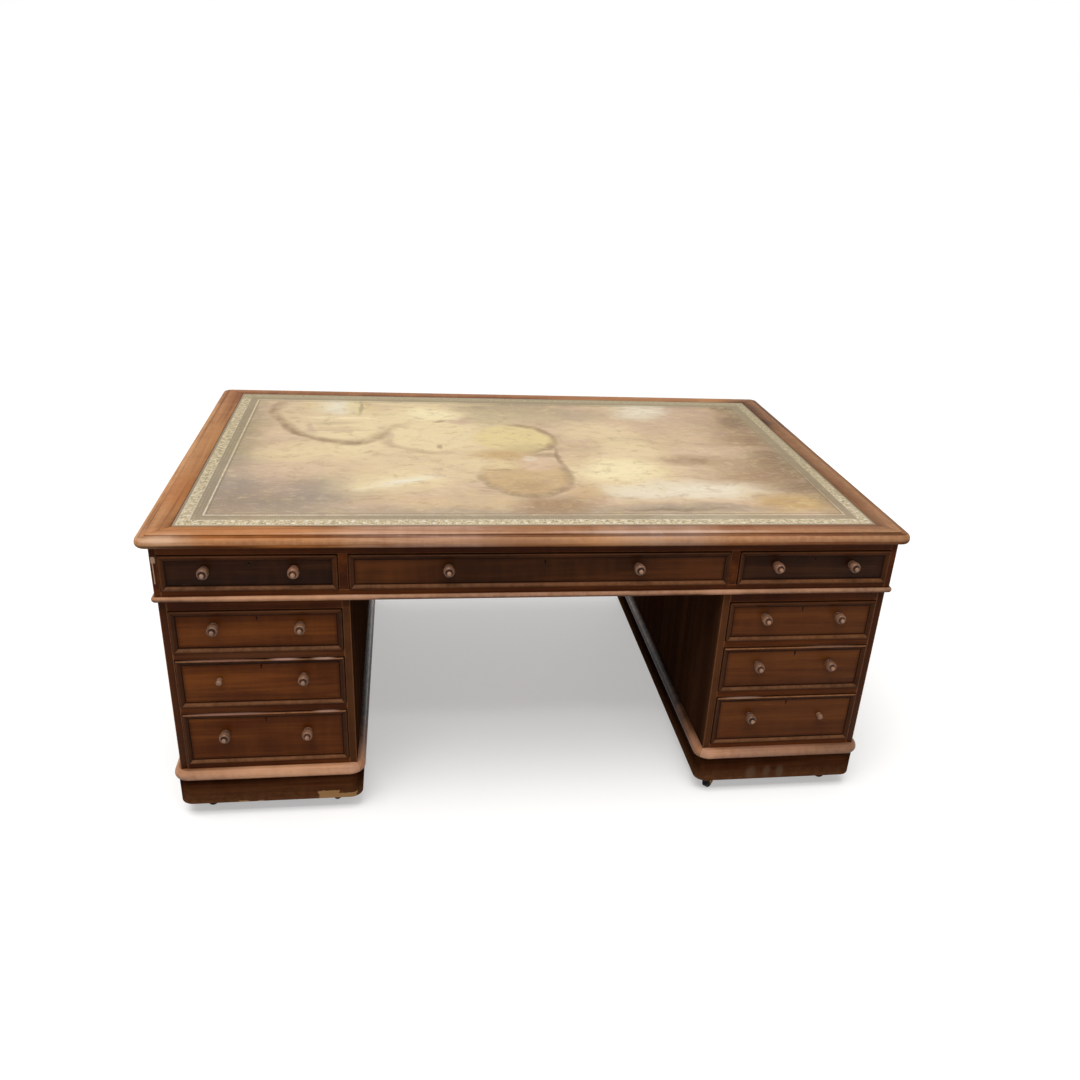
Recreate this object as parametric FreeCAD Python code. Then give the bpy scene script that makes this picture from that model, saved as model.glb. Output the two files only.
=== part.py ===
import FreeCAD, Part
import math
import os

# Mahogany pedestal partners desk, in millimetres.
# The origin is on the floor under the middle of the desk. +X runs to the right along the front,
# +Y runs from the front (three banks of drawers) to the back (cupboards), and +Z is up.

# ---------------------------------------------------------------------------
# Driving sizes
# ---------------------------------------------------------------------------
# Whole desk
top_length = 1830.0
top_depth = 1270.0
desk_height = 778.0

# Top: a moulded mahogany rim round a ground board with a leather skiver
top_thickness = 27.0
rim_width = 70.0
arris_radius = 5.0          # corner radius of the rim's flat
quirk_drop = 3.0            # step down from the flat to the thumb moulding
quirk_width = 2.0
thumb_reach = 21.0
thumb_drop = 15.0
thumb_return = 7.0          # how far the moulding curls back underneath
leather_thickness = 1.2
leather_sink = 0.2

# Frieze: the drawer case under the top
frieze_height = 137.0
frieze_side_inset = 28.0    # from the edge of the top
frieze_front_inset = 20.0
frieze_end_thickness = 15.0
partition_thickness = 22.0
frieze_top_rail = 21.0
frieze_bottom_rail = 26.0
rail_depth = 20.0
dustboard_thickness = 8.0
case_divider_thickness = 12.0
kicker_width = 16.0
bead_height = 13.0
bead_reach = 8.0
bead_flat = 3.0
bead_corner_radius = 2.0

# Pedestals
pedestal_width = 428.0
pedestal_side_inset = 2.0   # from the end of the frieze
pedestal_front_inset = 12.0
side_thickness = 18.0
board_thickness = 18.0
pedestal_top_rail = 29.0
middle_rail = 18.0
bottom_rail_reveal = 14.0   # what shows above the plinth moulding
top_drawer_height = 112.0
middle_drawer_height = 132.0
runner_width = 16.0
shelf_thickness = 15.0
shelf_setback = 12.0
batten_size = 14.0
locating_length = 400.0
locating_gap = 0.5

# Plinths
floor_gap = 42.0            # clear space between the floor and a plinth
plinth_height = 74.0
plinth_reach = 11.0         # beyond the pedestal's sides
plinth_thickness = 18.0
plinth_inner_radius = 14.0
plinth_moulding_height = 28.0
plinth_moulding_lip = 9.0   # beyond the plinth
plinth_moulding_curl = 9.0
plinth_moulding_flat = 2.0

# Drawers
front_thickness = 20.0
front_gap = 1.0
front_lift = 0.4
front_head_gap = 1.2
lining_thickness = 11.0
lining_inset = 0.5
lining_drop = 4.0
lap_thickness = 6.0
back_thickness = 10.0
back_drop = 6.0
bottom_thickness = 6.0
bottom_rise = 6.0
groove_depth = 5.0
drawer_stop_gap = 8.0
dovetail_pitch = 34.0
dovetail_share = 0.28
dovetail_slope = 0.16

# Moulding planted on the drawer fronts
strip_width = 14.0
strip_proud = 5.0
strip_shoulder = 4.5
strip_fillet = 1.5
strip_edge = 1.0

# Turned knobs
knob_radius = 13.5
knob_length = 37.0
knob_collar_radius = 11.0
knob_collar_length = 4.0
knob_collar_round = 2.0
knob_neck_radius = 7.0
knob_neck_flare = 3.0
knob_head_length = 19.0
knob_rim_width = 4.0
knob_dish_depth = 1.5
knob_button_radius = 5.2
knob_button_length = 8.5    # beyond the knob's face
knob_button_dome = 3.0
knob_tenon_radius = 5.0
knob_tenon_length = 14.0
peg_radius = 7.5
peg_length = 21.0
peg_dome = 6.0
peg_drop = 4.0              # how far a peg sits below the knobs
knob_spacing = 196.0
centre_knob_spacing = 454.0
frieze_knob_rise = 7.0      # above the middle of the drawer front
pedestal_knob_rise = 13.0

# Keyholes
keyhole_radius = 2.6
keyhole_slot = 2.4
keyhole_length = 9.0
frieze_key_drop = 22.0
pedestal_key_drop = 20.0

# Cupboard doors at the back
door_thickness = 20.0
door_gap = 2.6
door_rail_width = 48.0
door_panel_thickness = 8.0
door_panel_tongue = 6.0
door_knob_inset = 21.0
hinge_leaf_thickness = 1.0
hinge_leaf_depth = 16.0
hinge_length = 60.0
hinge_knuckle_radius = 4.0
hinge_pin_radius = 1.6
hinge_pin_standoff = 5.0
hinge_knuckle_gap = 0.4
hinge_end_distance = 60.0
pin_fit = 0.08

# Castors
castor_height = 58.0
castor_inset_x = 58.0       # from the plinth's outer face to the swivel
castor_inset_y = 45.0
castor_trail = 16.0
castor_splay = 45.0         # degrees between a trailing wheel and the desk's length at rest
castors_turned_under = ("left_front_outer", "left_front_inner", "right_front_outer")
wheel_radius = 19.0
wheel_width = 16.0
wheel_edge = 2.5
axle_radius = 3.0
fork_clearance = 1.0
fork_leg_thickness = 3.0
fork_cap_radius = 14.0
fork_cap_thickness = 5.4
fork_foot_wall = 3.5        # metal round the axle
fork_foot_bevel = 2.0
axle_end = 1.0              # how far the axle stands out of the fork
plate_size = 44.0
plate_thickness = 3.0
pivot_radius = 4.0
pivot_head_radius = 6.0
pivot_head_length = 3.0
running_gap = 0.4
block_size = 67.0

# ---------------------------------------------------------------------------
# Places worked out from the driving sizes
# ---------------------------------------------------------------------------
half_length = top_length / 2
half_depth = top_depth / 2
top_underside = desk_height - top_thickness
moulding_width = quirk_width + thumb_reach
nose_radius = arris_radius + moulding_width
ground_top = desk_height - leather_sink - leather_thickness

frieze_half_length = half_length - frieze_side_inset
frieze_half_depth = half_depth - frieze_front_inset
frieze_bottom = top_underside - frieze_height
frieze_drawer_low = frieze_bottom + frieze_bottom_rail
frieze_drawer_high = top_underside - frieze_top_rail
case_outer = frieze_half_length - frieze_end_thickness

pedestal_outer = frieze_half_length - pedestal_side_inset
pedestal_inner = pedestal_outer - pedestal_width
pedestal_half_depth = frieze_half_depth - pedestal_front_inset
partition_outer = pedestal_inner + partition_thickness
plinth_top = floor_gap + plinth_height
moulding_top = plinth_top + plinth_moulding_height
bottom_rail_top = moulding_top + bottom_rail_reveal
opening_top = frieze_bottom - pedestal_top_rail
top_drawer_low = opening_top - top_drawer_height
middle_drawer_high = top_drawer_low - middle_rail
middle_drawer_low = middle_drawer_high - middle_drawer_height
bottom_drawer_high = middle_drawer_low - middle_rail
inside_left = pedestal_inner + side_thickness
inside_right = pedestal_outer - side_thickness
pedestal_middle = (pedestal_inner + pedestal_outer) / 2
inside_floor = plinth_top + board_thickness
inside_ceiling = frieze_bottom - board_thickness
half_divider = case_divider_thickness / 2

plinth_inner_side = pedestal_inner - plinth_reach
plinth_outer_side = pedestal_outer + plinth_reach
plinth_half_width = (plinth_outer_side - plinth_inner_side) / 2
plinth_half_depth = pedestal_half_depth + plinth_reach
plinth_radius = plinth_inner_radius + plinth_thickness

OVERCUT = 1.0               # how far a cut runs past the face that it leaves
BEZIER_ARC = 0.5523         # pole distance that makes a cubic curve follow a quarter ellipse


def vec(x, y, z):
    return FreeCAD.Vector(x, y, z)


def box(x0, x1, y0, y1, z0, z1):
    """A board between two corners."""
    return Part.makeBox(x1 - x0, y1 - y0, z1 - z0, vec(x0, y0, z0))


def cylinder_y(radius, x, y0, y1, z):
    return Part.makeCylinder(radius, y1 - y0, vec(x, y0, z), vec(0, 1, 0))


def cylinder_z(radius, x, y, z0, z1):
    return Part.makeCylinder(radius, z1 - z0, vec(x, y, z0), vec(0, 0, 1))


def prism(points, along):
    """A straight solid on a closed outline of points."""
    wire = Part.makePolygon(points + [points[0]])
    return Part.Face(wire).extrude(along)


def quarter(start, corner, end):
    """A quarter-ellipse edge from start to end that is tangent to the lines through corner."""
    curve = Part.BezierCurve()
    lead = start + (corner - start) * BEZIER_ARC
    trail = end + (corner - end) * BEZIER_ARC
    curve.setPoles([start, lead, trail, end])
    return curve.toShape()


def outline_edges(steps, place):
    """Edges of an outline. A step of two numbers ends a line, and one of four ends a quarter
    ellipse whose tangents meet at the first two numbers. The last step closes the outline."""
    edges = []
    here = place(*steps[-1][-2:])
    for step in steps:
        there = place(*step[-2:])
        if len(step) == 2:
            edges.append(Part.makeLine(here, there))
        else:
            edges.append(quarter(here, place(*step[:2]), there))
        here = there
    return edges


def mirrored(solids):
    """The same solids on the other side of the desk's middle plane."""
    return [solid.mirror(vec(0, 0, 0), vec(1, 0, 0)) for solid in solids]


def turned_back(solids):
    """The same solids turned half round the desk's middle."""
    copies = [solid.copy() for solid in solids]
    for solid in copies:
        solid.rotate(vec(0, 0, 0), vec(0, 0, 1), 180)
    return copies


def moulded_run(steps, half_x, half_y, radius):
    """One side of a moulded frame, facing -Y, from mitre to mitre. The steps are an outline of
    (distance outside the nose line, height). The frame's rounded corners have their mitres in
    the middle, and radius is the corner radius of the nose line."""
    straight = half_x - radius

    def face_at(x):
        return Part.Face(Part.Wire(outline_edges(steps, lambda out, z: vec(x, -half_y - out, z))))

    run = face_at(-straight).extrude(vec(2 * straight, 0, 0))
    axis = vec(0, 0, 1)
    right = face_at(straight).revolve(vec(straight, radius - half_y, 0), axis, 45)
    left = face_at(-straight).revolve(vec(-straight, radius - half_y, 0), axis, -45)
    return run.fuse([right, left]).removeSplitter()


def four_sides(make_side, half_x, half_y):
    """Four mitred sides round a rectangle: front, right, back and left."""
    sides = []
    for number in range(4):
        across = (half_x, half_y) if number % 2 == 0 else (half_y, half_x)
        side = make_side(*across)
        side.rotate(vec(0, 0, 0), vec(0, 0, 1), 90 * number)
        sides.append(side)
    return sides


def write_node(name, solids):
    for solid in solids:
        if not solid.isValid():
            raise ValueError("node " + name + " holds a bad solid")
    shape = solids[0] if len(solids) == 1 else Part.makeCompound(solids)
    shape.exportStep("parts/" + name + ".step")


# ---------------------------------------------------------------------------
# Top
# ---------------------------------------------------------------------------
def rim_board(half_x, half_y):
    """One board of the rim: its flat with a mitre at each end, and the thumb moulding."""
    nose_low = desk_height - quirk_drop - thumb_drop
    ledge = desk_height - quirk_drop
    moulding = moulded_run([
        (-thumb_return, top_underside),
        (0, top_underside, 0, nose_low),
        (0, ledge, -thumb_reach, ledge),
        (-moulding_width, ledge),
        (-moulding_width, top_underside),
    ], half_x, half_y, nose_radius)
    centre_x = half_x - nose_radius
    centre_y = half_y - nose_radius
    slant = arris_radius * math.cos(math.radians(45))
    steep = 67.5
    bulge_x = arris_radius * math.cos(math.radians(steep))
    bulge_y = arris_radius * math.sin(math.radians(steep))
    inner_x = half_x - rim_width
    inner_y = half_y - rim_width
    z = top_underside
    edges = [
        Part.makeLine(vec(-inner_x, -inner_y, z), vec(inner_x, -inner_y, z)),
        Part.makeLine(vec(inner_x, -inner_y, z), vec(centre_x + slant, -centre_y - slant, z)),
        Part.Arc(vec(centre_x + slant, -centre_y - slant, z),
                 vec(centre_x + bulge_x, -centre_y - bulge_y, z),
                 vec(centre_x, -centre_y - arris_radius, z)).toShape(),
        Part.makeLine(vec(centre_x, -centre_y - arris_radius, z),
                      vec(-centre_x, -centre_y - arris_radius, z)),
        Part.Arc(vec(-centre_x, -centre_y - arris_radius, z),
                 vec(-centre_x - bulge_x, -centre_y - bulge_y, z),
                 vec(-centre_x - slant, -centre_y - slant, z)).toShape(),
        Part.makeLine(vec(-centre_x - slant, -centre_y - slant, z), vec(-inner_x, -inner_y, z)),
    ]
    flat = Part.Face(Part.Wire(edges)).extrude(vec(0, 0, top_thickness))
    return flat.fuse(moulding).removeSplitter()


def make_top():
    field_x = half_length - rim_width
    field_y = half_depth - rim_width
    write_node("top_frame", four_sides(rim_board, half_length, half_depth))
    write_node("top_panel", [box(-field_x, field_x, -field_y, field_y, top_underside, ground_top)])
    write_node("leather_skiver", [box(-field_x, field_x, -field_y, field_y, ground_top,
                                      desk_height - leather_sink)])


# ---------------------------------------------------------------------------
# Frieze
# ---------------------------------------------------------------------------
def frieze_partition():
    """Board between the centre and a side drawer, notched at both ends for the rails."""
    board = box(pedestal_inner, partition_outer, -frieze_half_depth, frieze_half_depth,
                frieze_bottom, top_underside)
    for rail in frieze_rails():
        board = board.cut(rail)
    return board


def frieze_rails():
    front = [
        box(-case_outer, case_outer, -frieze_half_depth, -frieze_half_depth + rail_depth,
            frieze_drawer_high, top_underside),
        box(-case_outer, case_outer, -frieze_half_depth, -frieze_half_depth + rail_depth,
            frieze_bottom, frieze_drawer_low),
    ]
    return front + turned_back(front)


def frieze_bead(half_x, half_y):
    """Half-round moulding along the foot of the frieze."""
    middle = frieze_bottom + bead_height / 2
    top = frieze_bottom + bead_height
    run = moulded_run([
        (bead_flat - bead_reach, frieze_bottom),
        (0, frieze_bottom, 0, middle),
        (0, top, bead_flat - bead_reach, top),
        (-bead_reach, top),
        (-bead_reach, frieze_bottom),
    ], half_x, half_y, bead_corner_radius + bead_reach)
    return run.cut(box(bead_reach - half_x, half_x - bead_reach, bead_reach - half_y,
                       half_y - bead_reach, 0, desk_height))


def make_frieze():
    end = box(case_outer, frieze_half_length, -frieze_half_depth, frieze_half_depth,
              frieze_bottom, top_underside)
    write_node("frieze_ends", mirrored([end]) + [end])
    write_node("frieze_rails", frieze_rails())

    partition = frieze_partition()
    inner_depth = frieze_half_depth - rail_depth
    dividers = [partition] + mirrored([partition])
    bays = [(-case_outer, -partition_outer), (-pedestal_inner, pedestal_inner),
            (partition_outer, case_outer)]
    dustboards = []
    for left, right in bays:
        dividers.append(box(left, right, -half_divider, half_divider,
                            frieze_drawer_low, top_underside))
        for near, far in ((-inner_depth, -half_divider), (half_divider, inner_depth)):
            dividers.append(box(left, left + kicker_width, near, far,
                                frieze_drawer_high, top_underside))
            dividers.append(box(right - kicker_width, right, near, far,
                                frieze_drawer_high, top_underside))
        dustboards.append(box(left, right, -inner_depth, inner_depth,
                              frieze_drawer_low - dustboard_thickness, frieze_drawer_low))
    write_node("frieze_dividers", dividers)
    write_node("frieze_dustboards", dustboards)
    write_node("frieze_bead", four_sides(frieze_bead, frieze_half_length + bead_reach,
                                         frieze_half_depth + bead_reach))


# ---------------------------------------------------------------------------
# Pedestals and plinths. The right one is made, and the left one is its mirror image.
# ---------------------------------------------------------------------------
def pedestal_sides():
    return [box(x, x + side_thickness, -pedestal_half_depth, pedestal_half_depth,
                plinth_top, frieze_bottom) for x in (pedestal_inner, inside_right)]


def cross_rail(low, high):
    return box(inside_left, inside_right, -pedestal_half_depth,
               -pedestal_half_depth + rail_depth, low, high)


def side_strips(width, near, far, low, high):
    """A pair of strips along the inside of the pedestal's sides."""
    return [box(inside_left, inside_left + width, near, far, low, high),
            box(inside_right - width, inside_right, near, far, low, high)]


def pedestal_frame():
    """Rails, boards, drawer runners, shelf and the battens that locate the top."""
    inner_depth = pedestal_half_depth - rail_depth
    end_rails = [cross_rail(plinth_top, bottom_rail_top), cross_rail(opening_top, frieze_bottom)]
    solids = end_rails + turned_back(mirrored(end_rails))
    solids.append(cross_rail(middle_drawer_high, top_drawer_low))
    solids.append(cross_rail(bottom_drawer_high, middle_drawer_low))
    solids.append(box(inside_left, inside_right, -inner_depth, inner_depth,
                      plinth_top, inside_floor))
    solids.append(box(inside_left, inside_right, -inner_depth, inner_depth,
                      inside_ceiling, frieze_bottom))
    solids.append(box(inside_left, inside_right, -half_divider, half_divider,
                      inside_floor, inside_ceiling))
    for low, high in ((inside_floor, bottom_rail_top), (bottom_drawer_high, middle_drawer_low),
                      (middle_drawer_high, top_drawer_low), (opening_top, inside_ceiling)):
        solids += side_strips(runner_width, -inner_depth, -half_divider, low, high)
    shelf_middle = (bottom_rail_top + opening_top) / 2
    shelf_far = pedestal_half_depth - door_thickness - shelf_setback
    solids.append(box(inside_left, inside_right, half_divider, shelf_far,
                      shelf_middle, shelf_middle + shelf_thickness))
    solids += side_strips(batten_size, half_divider, shelf_far,
                          shelf_middle - batten_size, shelf_middle)
    for x in (partition_outer + locating_gap, case_outer - locating_gap - batten_size):
        solids.append(box(x, x + batten_size, -locating_length / 2, locating_length / 2,
                          frieze_bottom, frieze_bottom + batten_size))
    return solids


def plinth_board(half_x, half_y):
    return moulded_run([(0, floor_gap), (0, plinth_top), (-plinth_thickness, plinth_top),
                        (-plinth_thickness, floor_gap)], half_x, half_y, plinth_radius)


def plinth_moulding(half_x, half_y):
    """Bold thumb moulding on the plinth, cut to the pedestal's square corners."""
    depth = plinth_moulding_lip + plinth_reach
    nose = plinth_top + plinth_moulding_curl
    run = moulded_run([
        (-plinth_moulding_lip, plinth_top),
        (0, plinth_top, 0, nose),
        (0, moulding_top, plinth_moulding_flat - depth, moulding_top),
        (-depth, moulding_top),
        (-depth, plinth_top),
    ], half_x, half_y, plinth_radius + plinth_moulding_lip)
    return run.cut(box(depth - half_x, half_x - depth, depth - half_y, half_y - depth,
                       0, desk_height))


def plinth():
    """Plinth boards, the moulding on them and the corner blocks that carry the castors."""
    boards = four_sides(plinth_board, plinth_half_width, plinth_half_depth)
    solids = boards + four_sides(plinth_moulding, plinth_half_width + plinth_moulding_lip,
                                 plinth_half_depth + plinth_moulding_lip)
    for sign_x in (-1, 1):
        for sign_y in (-1, 1):
            ends_x = sorted((sign_x * (plinth_half_width - plinth_thickness),
                             sign_x * (plinth_half_width - plinth_thickness - block_size)))
            ends_y = sorted((sign_y * (plinth_half_depth - plinth_thickness),
                             sign_y * (plinth_half_depth - plinth_thickness - block_size)))
            block = box(*ends_x, *ends_y, castor_height, plinth_top)
            for board in boards:
                block = block.cut(board)
            solids.append(block)
    for solid in solids:
        solid.translate(vec(pedestal_middle, 0, 0))
    return solids


def make_pedestals():
    for node, solids in (("pedestal_sides", pedestal_sides()), ("pedestal_frame", pedestal_frame()),
                         ("plinth", plinth())):
        write_node("right_" + node, solids)
        write_node("left_" + node, mirrored(solids))


# ---------------------------------------------------------------------------
# Drawers
# ---------------------------------------------------------------------------
def turned(steps):
    """A turned piece on the Y axis from an outline of (radius, distance outwards)."""
    face = Part.Face(Part.Wire(outline_edges(steps, lambda r, out: vec(r, -out, 0))))
    return face.revolve(vec(0, 0, 0), vec(0, 1, 0), 360)


def make_knob():
    """Bun knob with a collar, a neck, a dished face and a button."""
    face = knob_length - knob_button_length
    head_start = face - knob_head_length
    head_middle = head_start + knob_head_length / 2
    collar_edge = knob_collar_length - knob_collar_round
    return turned([
        (0, -knob_tenon_length),
        (knob_tenon_radius, -knob_tenon_length),
        (knob_tenon_radius, 0),
        (knob_collar_radius, 0),
        (knob_collar_radius, collar_edge),
        (knob_collar_radius, knob_collar_length,
         knob_collar_radius - knob_collar_round, knob_collar_length),
        (knob_neck_radius, knob_collar_length),
        (knob_neck_radius, head_start - knob_neck_flare),
        (knob_neck_radius, head_start, knob_neck_radius + knob_neck_flare, head_start),
        (knob_radius, head_start, knob_radius, head_middle),
        (knob_radius, face, knob_radius - knob_rim_width, face),
        (knob_button_radius, face - knob_dish_depth),
        (knob_button_radius, knob_length - knob_button_dome),
        (knob_button_radius, knob_length, 0, knob_length),
    ])


def make_peg():
    """Small plain peg that stands in for a lost knob."""
    return turned([
        (0, -knob_tenon_length),
        (knob_tenon_radius, -knob_tenon_length),
        (knob_tenon_radius, 0),
        (peg_radius, 0),
        (peg_radius, peg_length - peg_dome),
        (peg_radius, peg_length, 0, peg_length),
    ])


KNOB = make_knob()
PEG = make_peg()


def placed(shape, x, y, z):
    copy = shape.copy()
    copy.translate(vec(x, y, z))
    return copy


def moulding_strip(length):
    """One planted strip along +X from mitre to mitre, on the plane y = 0."""
    steps = [
        (0, strip_edge),
        (0, strip_proud, strip_shoulder, strip_proud),
        (strip_width - strip_fillet, strip_edge),
        (strip_width, strip_edge),
        (strip_width, 0),
        (0, 0),
    ]
    edges = outline_edges(steps, lambda across, out: vec(0, -out, across))
    crest = vec(0, -strip_proud, strip_shoulder)
    foot = vec(0, -strip_edge, strip_width - strip_fillet)
    half_way = (strip_shoulder + strip_width - strip_fillet) / 2
    ogee = Part.BezierCurve()
    ogee.setPoles([crest, vec(0, -strip_proud, half_way), vec(0, -strip_edge, half_way), foot])
    edges[2] = ogee.toShape()
    run = Part.Face(Part.Wire(edges)).extrude(vec(length, 0, 0))
    mitres = prism([vec(0, OVERCUT, 0), vec(length, OVERCUT, 0),
                    vec(length - strip_width, OVERCUT, strip_width),
                    vec(strip_width, OVERCUT, strip_width)],
                   vec(0, -2 * OVERCUT - strip_proud, 0))
    return run.common(mitres)


def moulding_frame(x0, x1, z0, z1, y):
    """Four mitred strips round a rectangle on the plane y, facing -Y."""
    strips = []
    for length, angle, x, z in ((x1 - x0, 0, x0, z0), (x1 - x0, 180, x1, z1),
                                (z1 - z0, 90, x0, z1), (z1 - z0, -90, x1, z0)):
        strip = moulding_strip(length)
        strip.rotate(vec(0, 0, 0), vec(0, 1, 0), angle)
        strip.translate(vec(x, y, z))
        strips.append(strip)
    return strips


def keyhole(x, y, z, depth):
    hole = cylinder_y(keyhole_radius, x, y - OVERCUT, y + depth, z)
    slot = box(x - keyhole_slot / 2, x + keyhole_slot / 2, y - OVERCUT, y + depth,
               z - keyhole_length, z)
    return hole.fuse(slot)


def tail_points(root, tip, low, high):
    """Dovetails along the end of a board, from low to high, as (y, z) points."""
    count = max(2, round((high - low) / dovetail_pitch))
    pitch = (high - low) / count
    narrow = pitch * dovetail_share
    wide = narrow + abs(tip - root) * dovetail_slope
    points = []
    for number in range(count):
        middle = low + pitch * (number + 0.5)
        points += [(root, middle - narrow), (tip, middle - wide),
                   (tip, middle + wide), (root, middle + narrow)]
    return points


def drawer(x_low, x_high, z_low, z_high, face, back_limit, knob_offset, knob_rise, key_drop,
           peg_side=0):
    """A dovetailed drawer in an opening, facing -Y. It gives the front's solids and the lining's
    solids. peg_side is -1 or 1 where the left or right knob is a peg."""
    left = x_low + front_gap
    right = x_high - front_gap
    low = z_low + front_lift
    high = z_high - front_head_gap
    inner_face = face + front_thickness
    end = back_limit - drawer_stop_gap
    side_high = high - lining_drop
    floor_low = low + bottom_rise
    floor_high = floor_low + bottom_thickness
    back_high = side_high - back_drop

    outline = [(inner_face, low)]
    outline += tail_points(inner_face, face + lap_thickness, low, side_high)
    outline += [(inner_face, side_high), (end, side_high), (end, back_high)]
    outline.append((end - back_thickness, back_high))
    outline += reversed(tail_points(end - back_thickness, end, floor_high, back_high))
    outline += [(end - back_thickness, floor_high), (end, floor_high), (end, low)]
    sides = []
    for x in (left + lining_inset, right - lining_inset - lining_thickness):
        sides.append(prism([vec(x, y, z) for y, z in outline], vec(lining_thickness, 0, 0)))

    floor_inset = lining_inset + lining_thickness - groove_depth
    floor = box(left + floor_inset, right - floor_inset, inner_face - groove_depth, end,
                floor_low, floor_high)
    back = box(left + lining_inset, right - lining_inset, end - back_thickness, end,
               floor_high, back_high)
    front = box(left, right, face, inner_face, low, high)
    for side in sides:
        front = front.cut(side)
        back = back.cut(side)
    front = front.cut(floor)
    sides = [side.cut(floor) for side in sides]

    middle_x = (x_low + x_high) / 2
    knob_z = (z_low + z_high) / 2 + knob_rise
    knobs = []
    for sign in (-1, 1):
        x = middle_x + sign * knob_offset
        z = knob_z - (peg_drop if sign == peg_side else 0)
        knobs.append(placed(PEG if sign == peg_side else KNOB, x, face, z))
        front = front.cut(cylinder_y(knob_tenon_radius, x, face, face + knob_tenon_length, z))
    front = front.cut(keyhole(middle_x, face, z_high - key_drop, front_thickness + OVERCUT))
    strips = moulding_frame(left, right, low, high, face)
    return [front] + strips + knobs, sides + [back, floor]


def write_drawer(name, front_solids, lining_solids):
    write_node(name + "_front", front_solids)
    write_node(name + "_lining", lining_solids)


def make_drawers():
    frieze_rows = (("left", -case_outer, -partition_outer, knob_spacing / 2),
                   ("centre", -pedestal_inner, pedestal_inner, centre_knob_spacing / 2),
                   ("right", partition_outer, case_outer, knob_spacing / 2))
    for place, x_low, x_high, knob_offset in frieze_rows:
        front, lining = drawer(x_low, x_high, frieze_drawer_low, frieze_drawer_high,
                               -frieze_half_depth, -half_divider, knob_offset,
                               frieze_knob_rise, frieze_key_drop)
        write_drawer("front_" + place + "_frieze_drawer", front, lining)
        write_drawer("back_" + place + "_frieze_drawer", turned_back(mirrored(front)),
                     turned_back(mirrored(lining)))
    rows = (("top", top_drawer_low, opening_top),
            ("middle", middle_drawer_low, middle_drawer_high),
            ("bottom", bottom_rail_top, bottom_drawer_high))
    pegs = {("left", "middle"): -1, ("right", "bottom"): 1}
    for side, x_low, x_high in (("left", -inside_right, -inside_left),
                                ("right", inside_left, inside_right)):
        for row, z_low, z_high in rows:
            front, lining = drawer(x_low, x_high, z_low, z_high, -pedestal_half_depth,
                                   -half_divider, knob_spacing / 2, pedestal_knob_rise,
                                   pedestal_key_drop, pegs.get((side, row), 0))
            write_drawer(side + "_" + row + "_drawer", front, lining)


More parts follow.
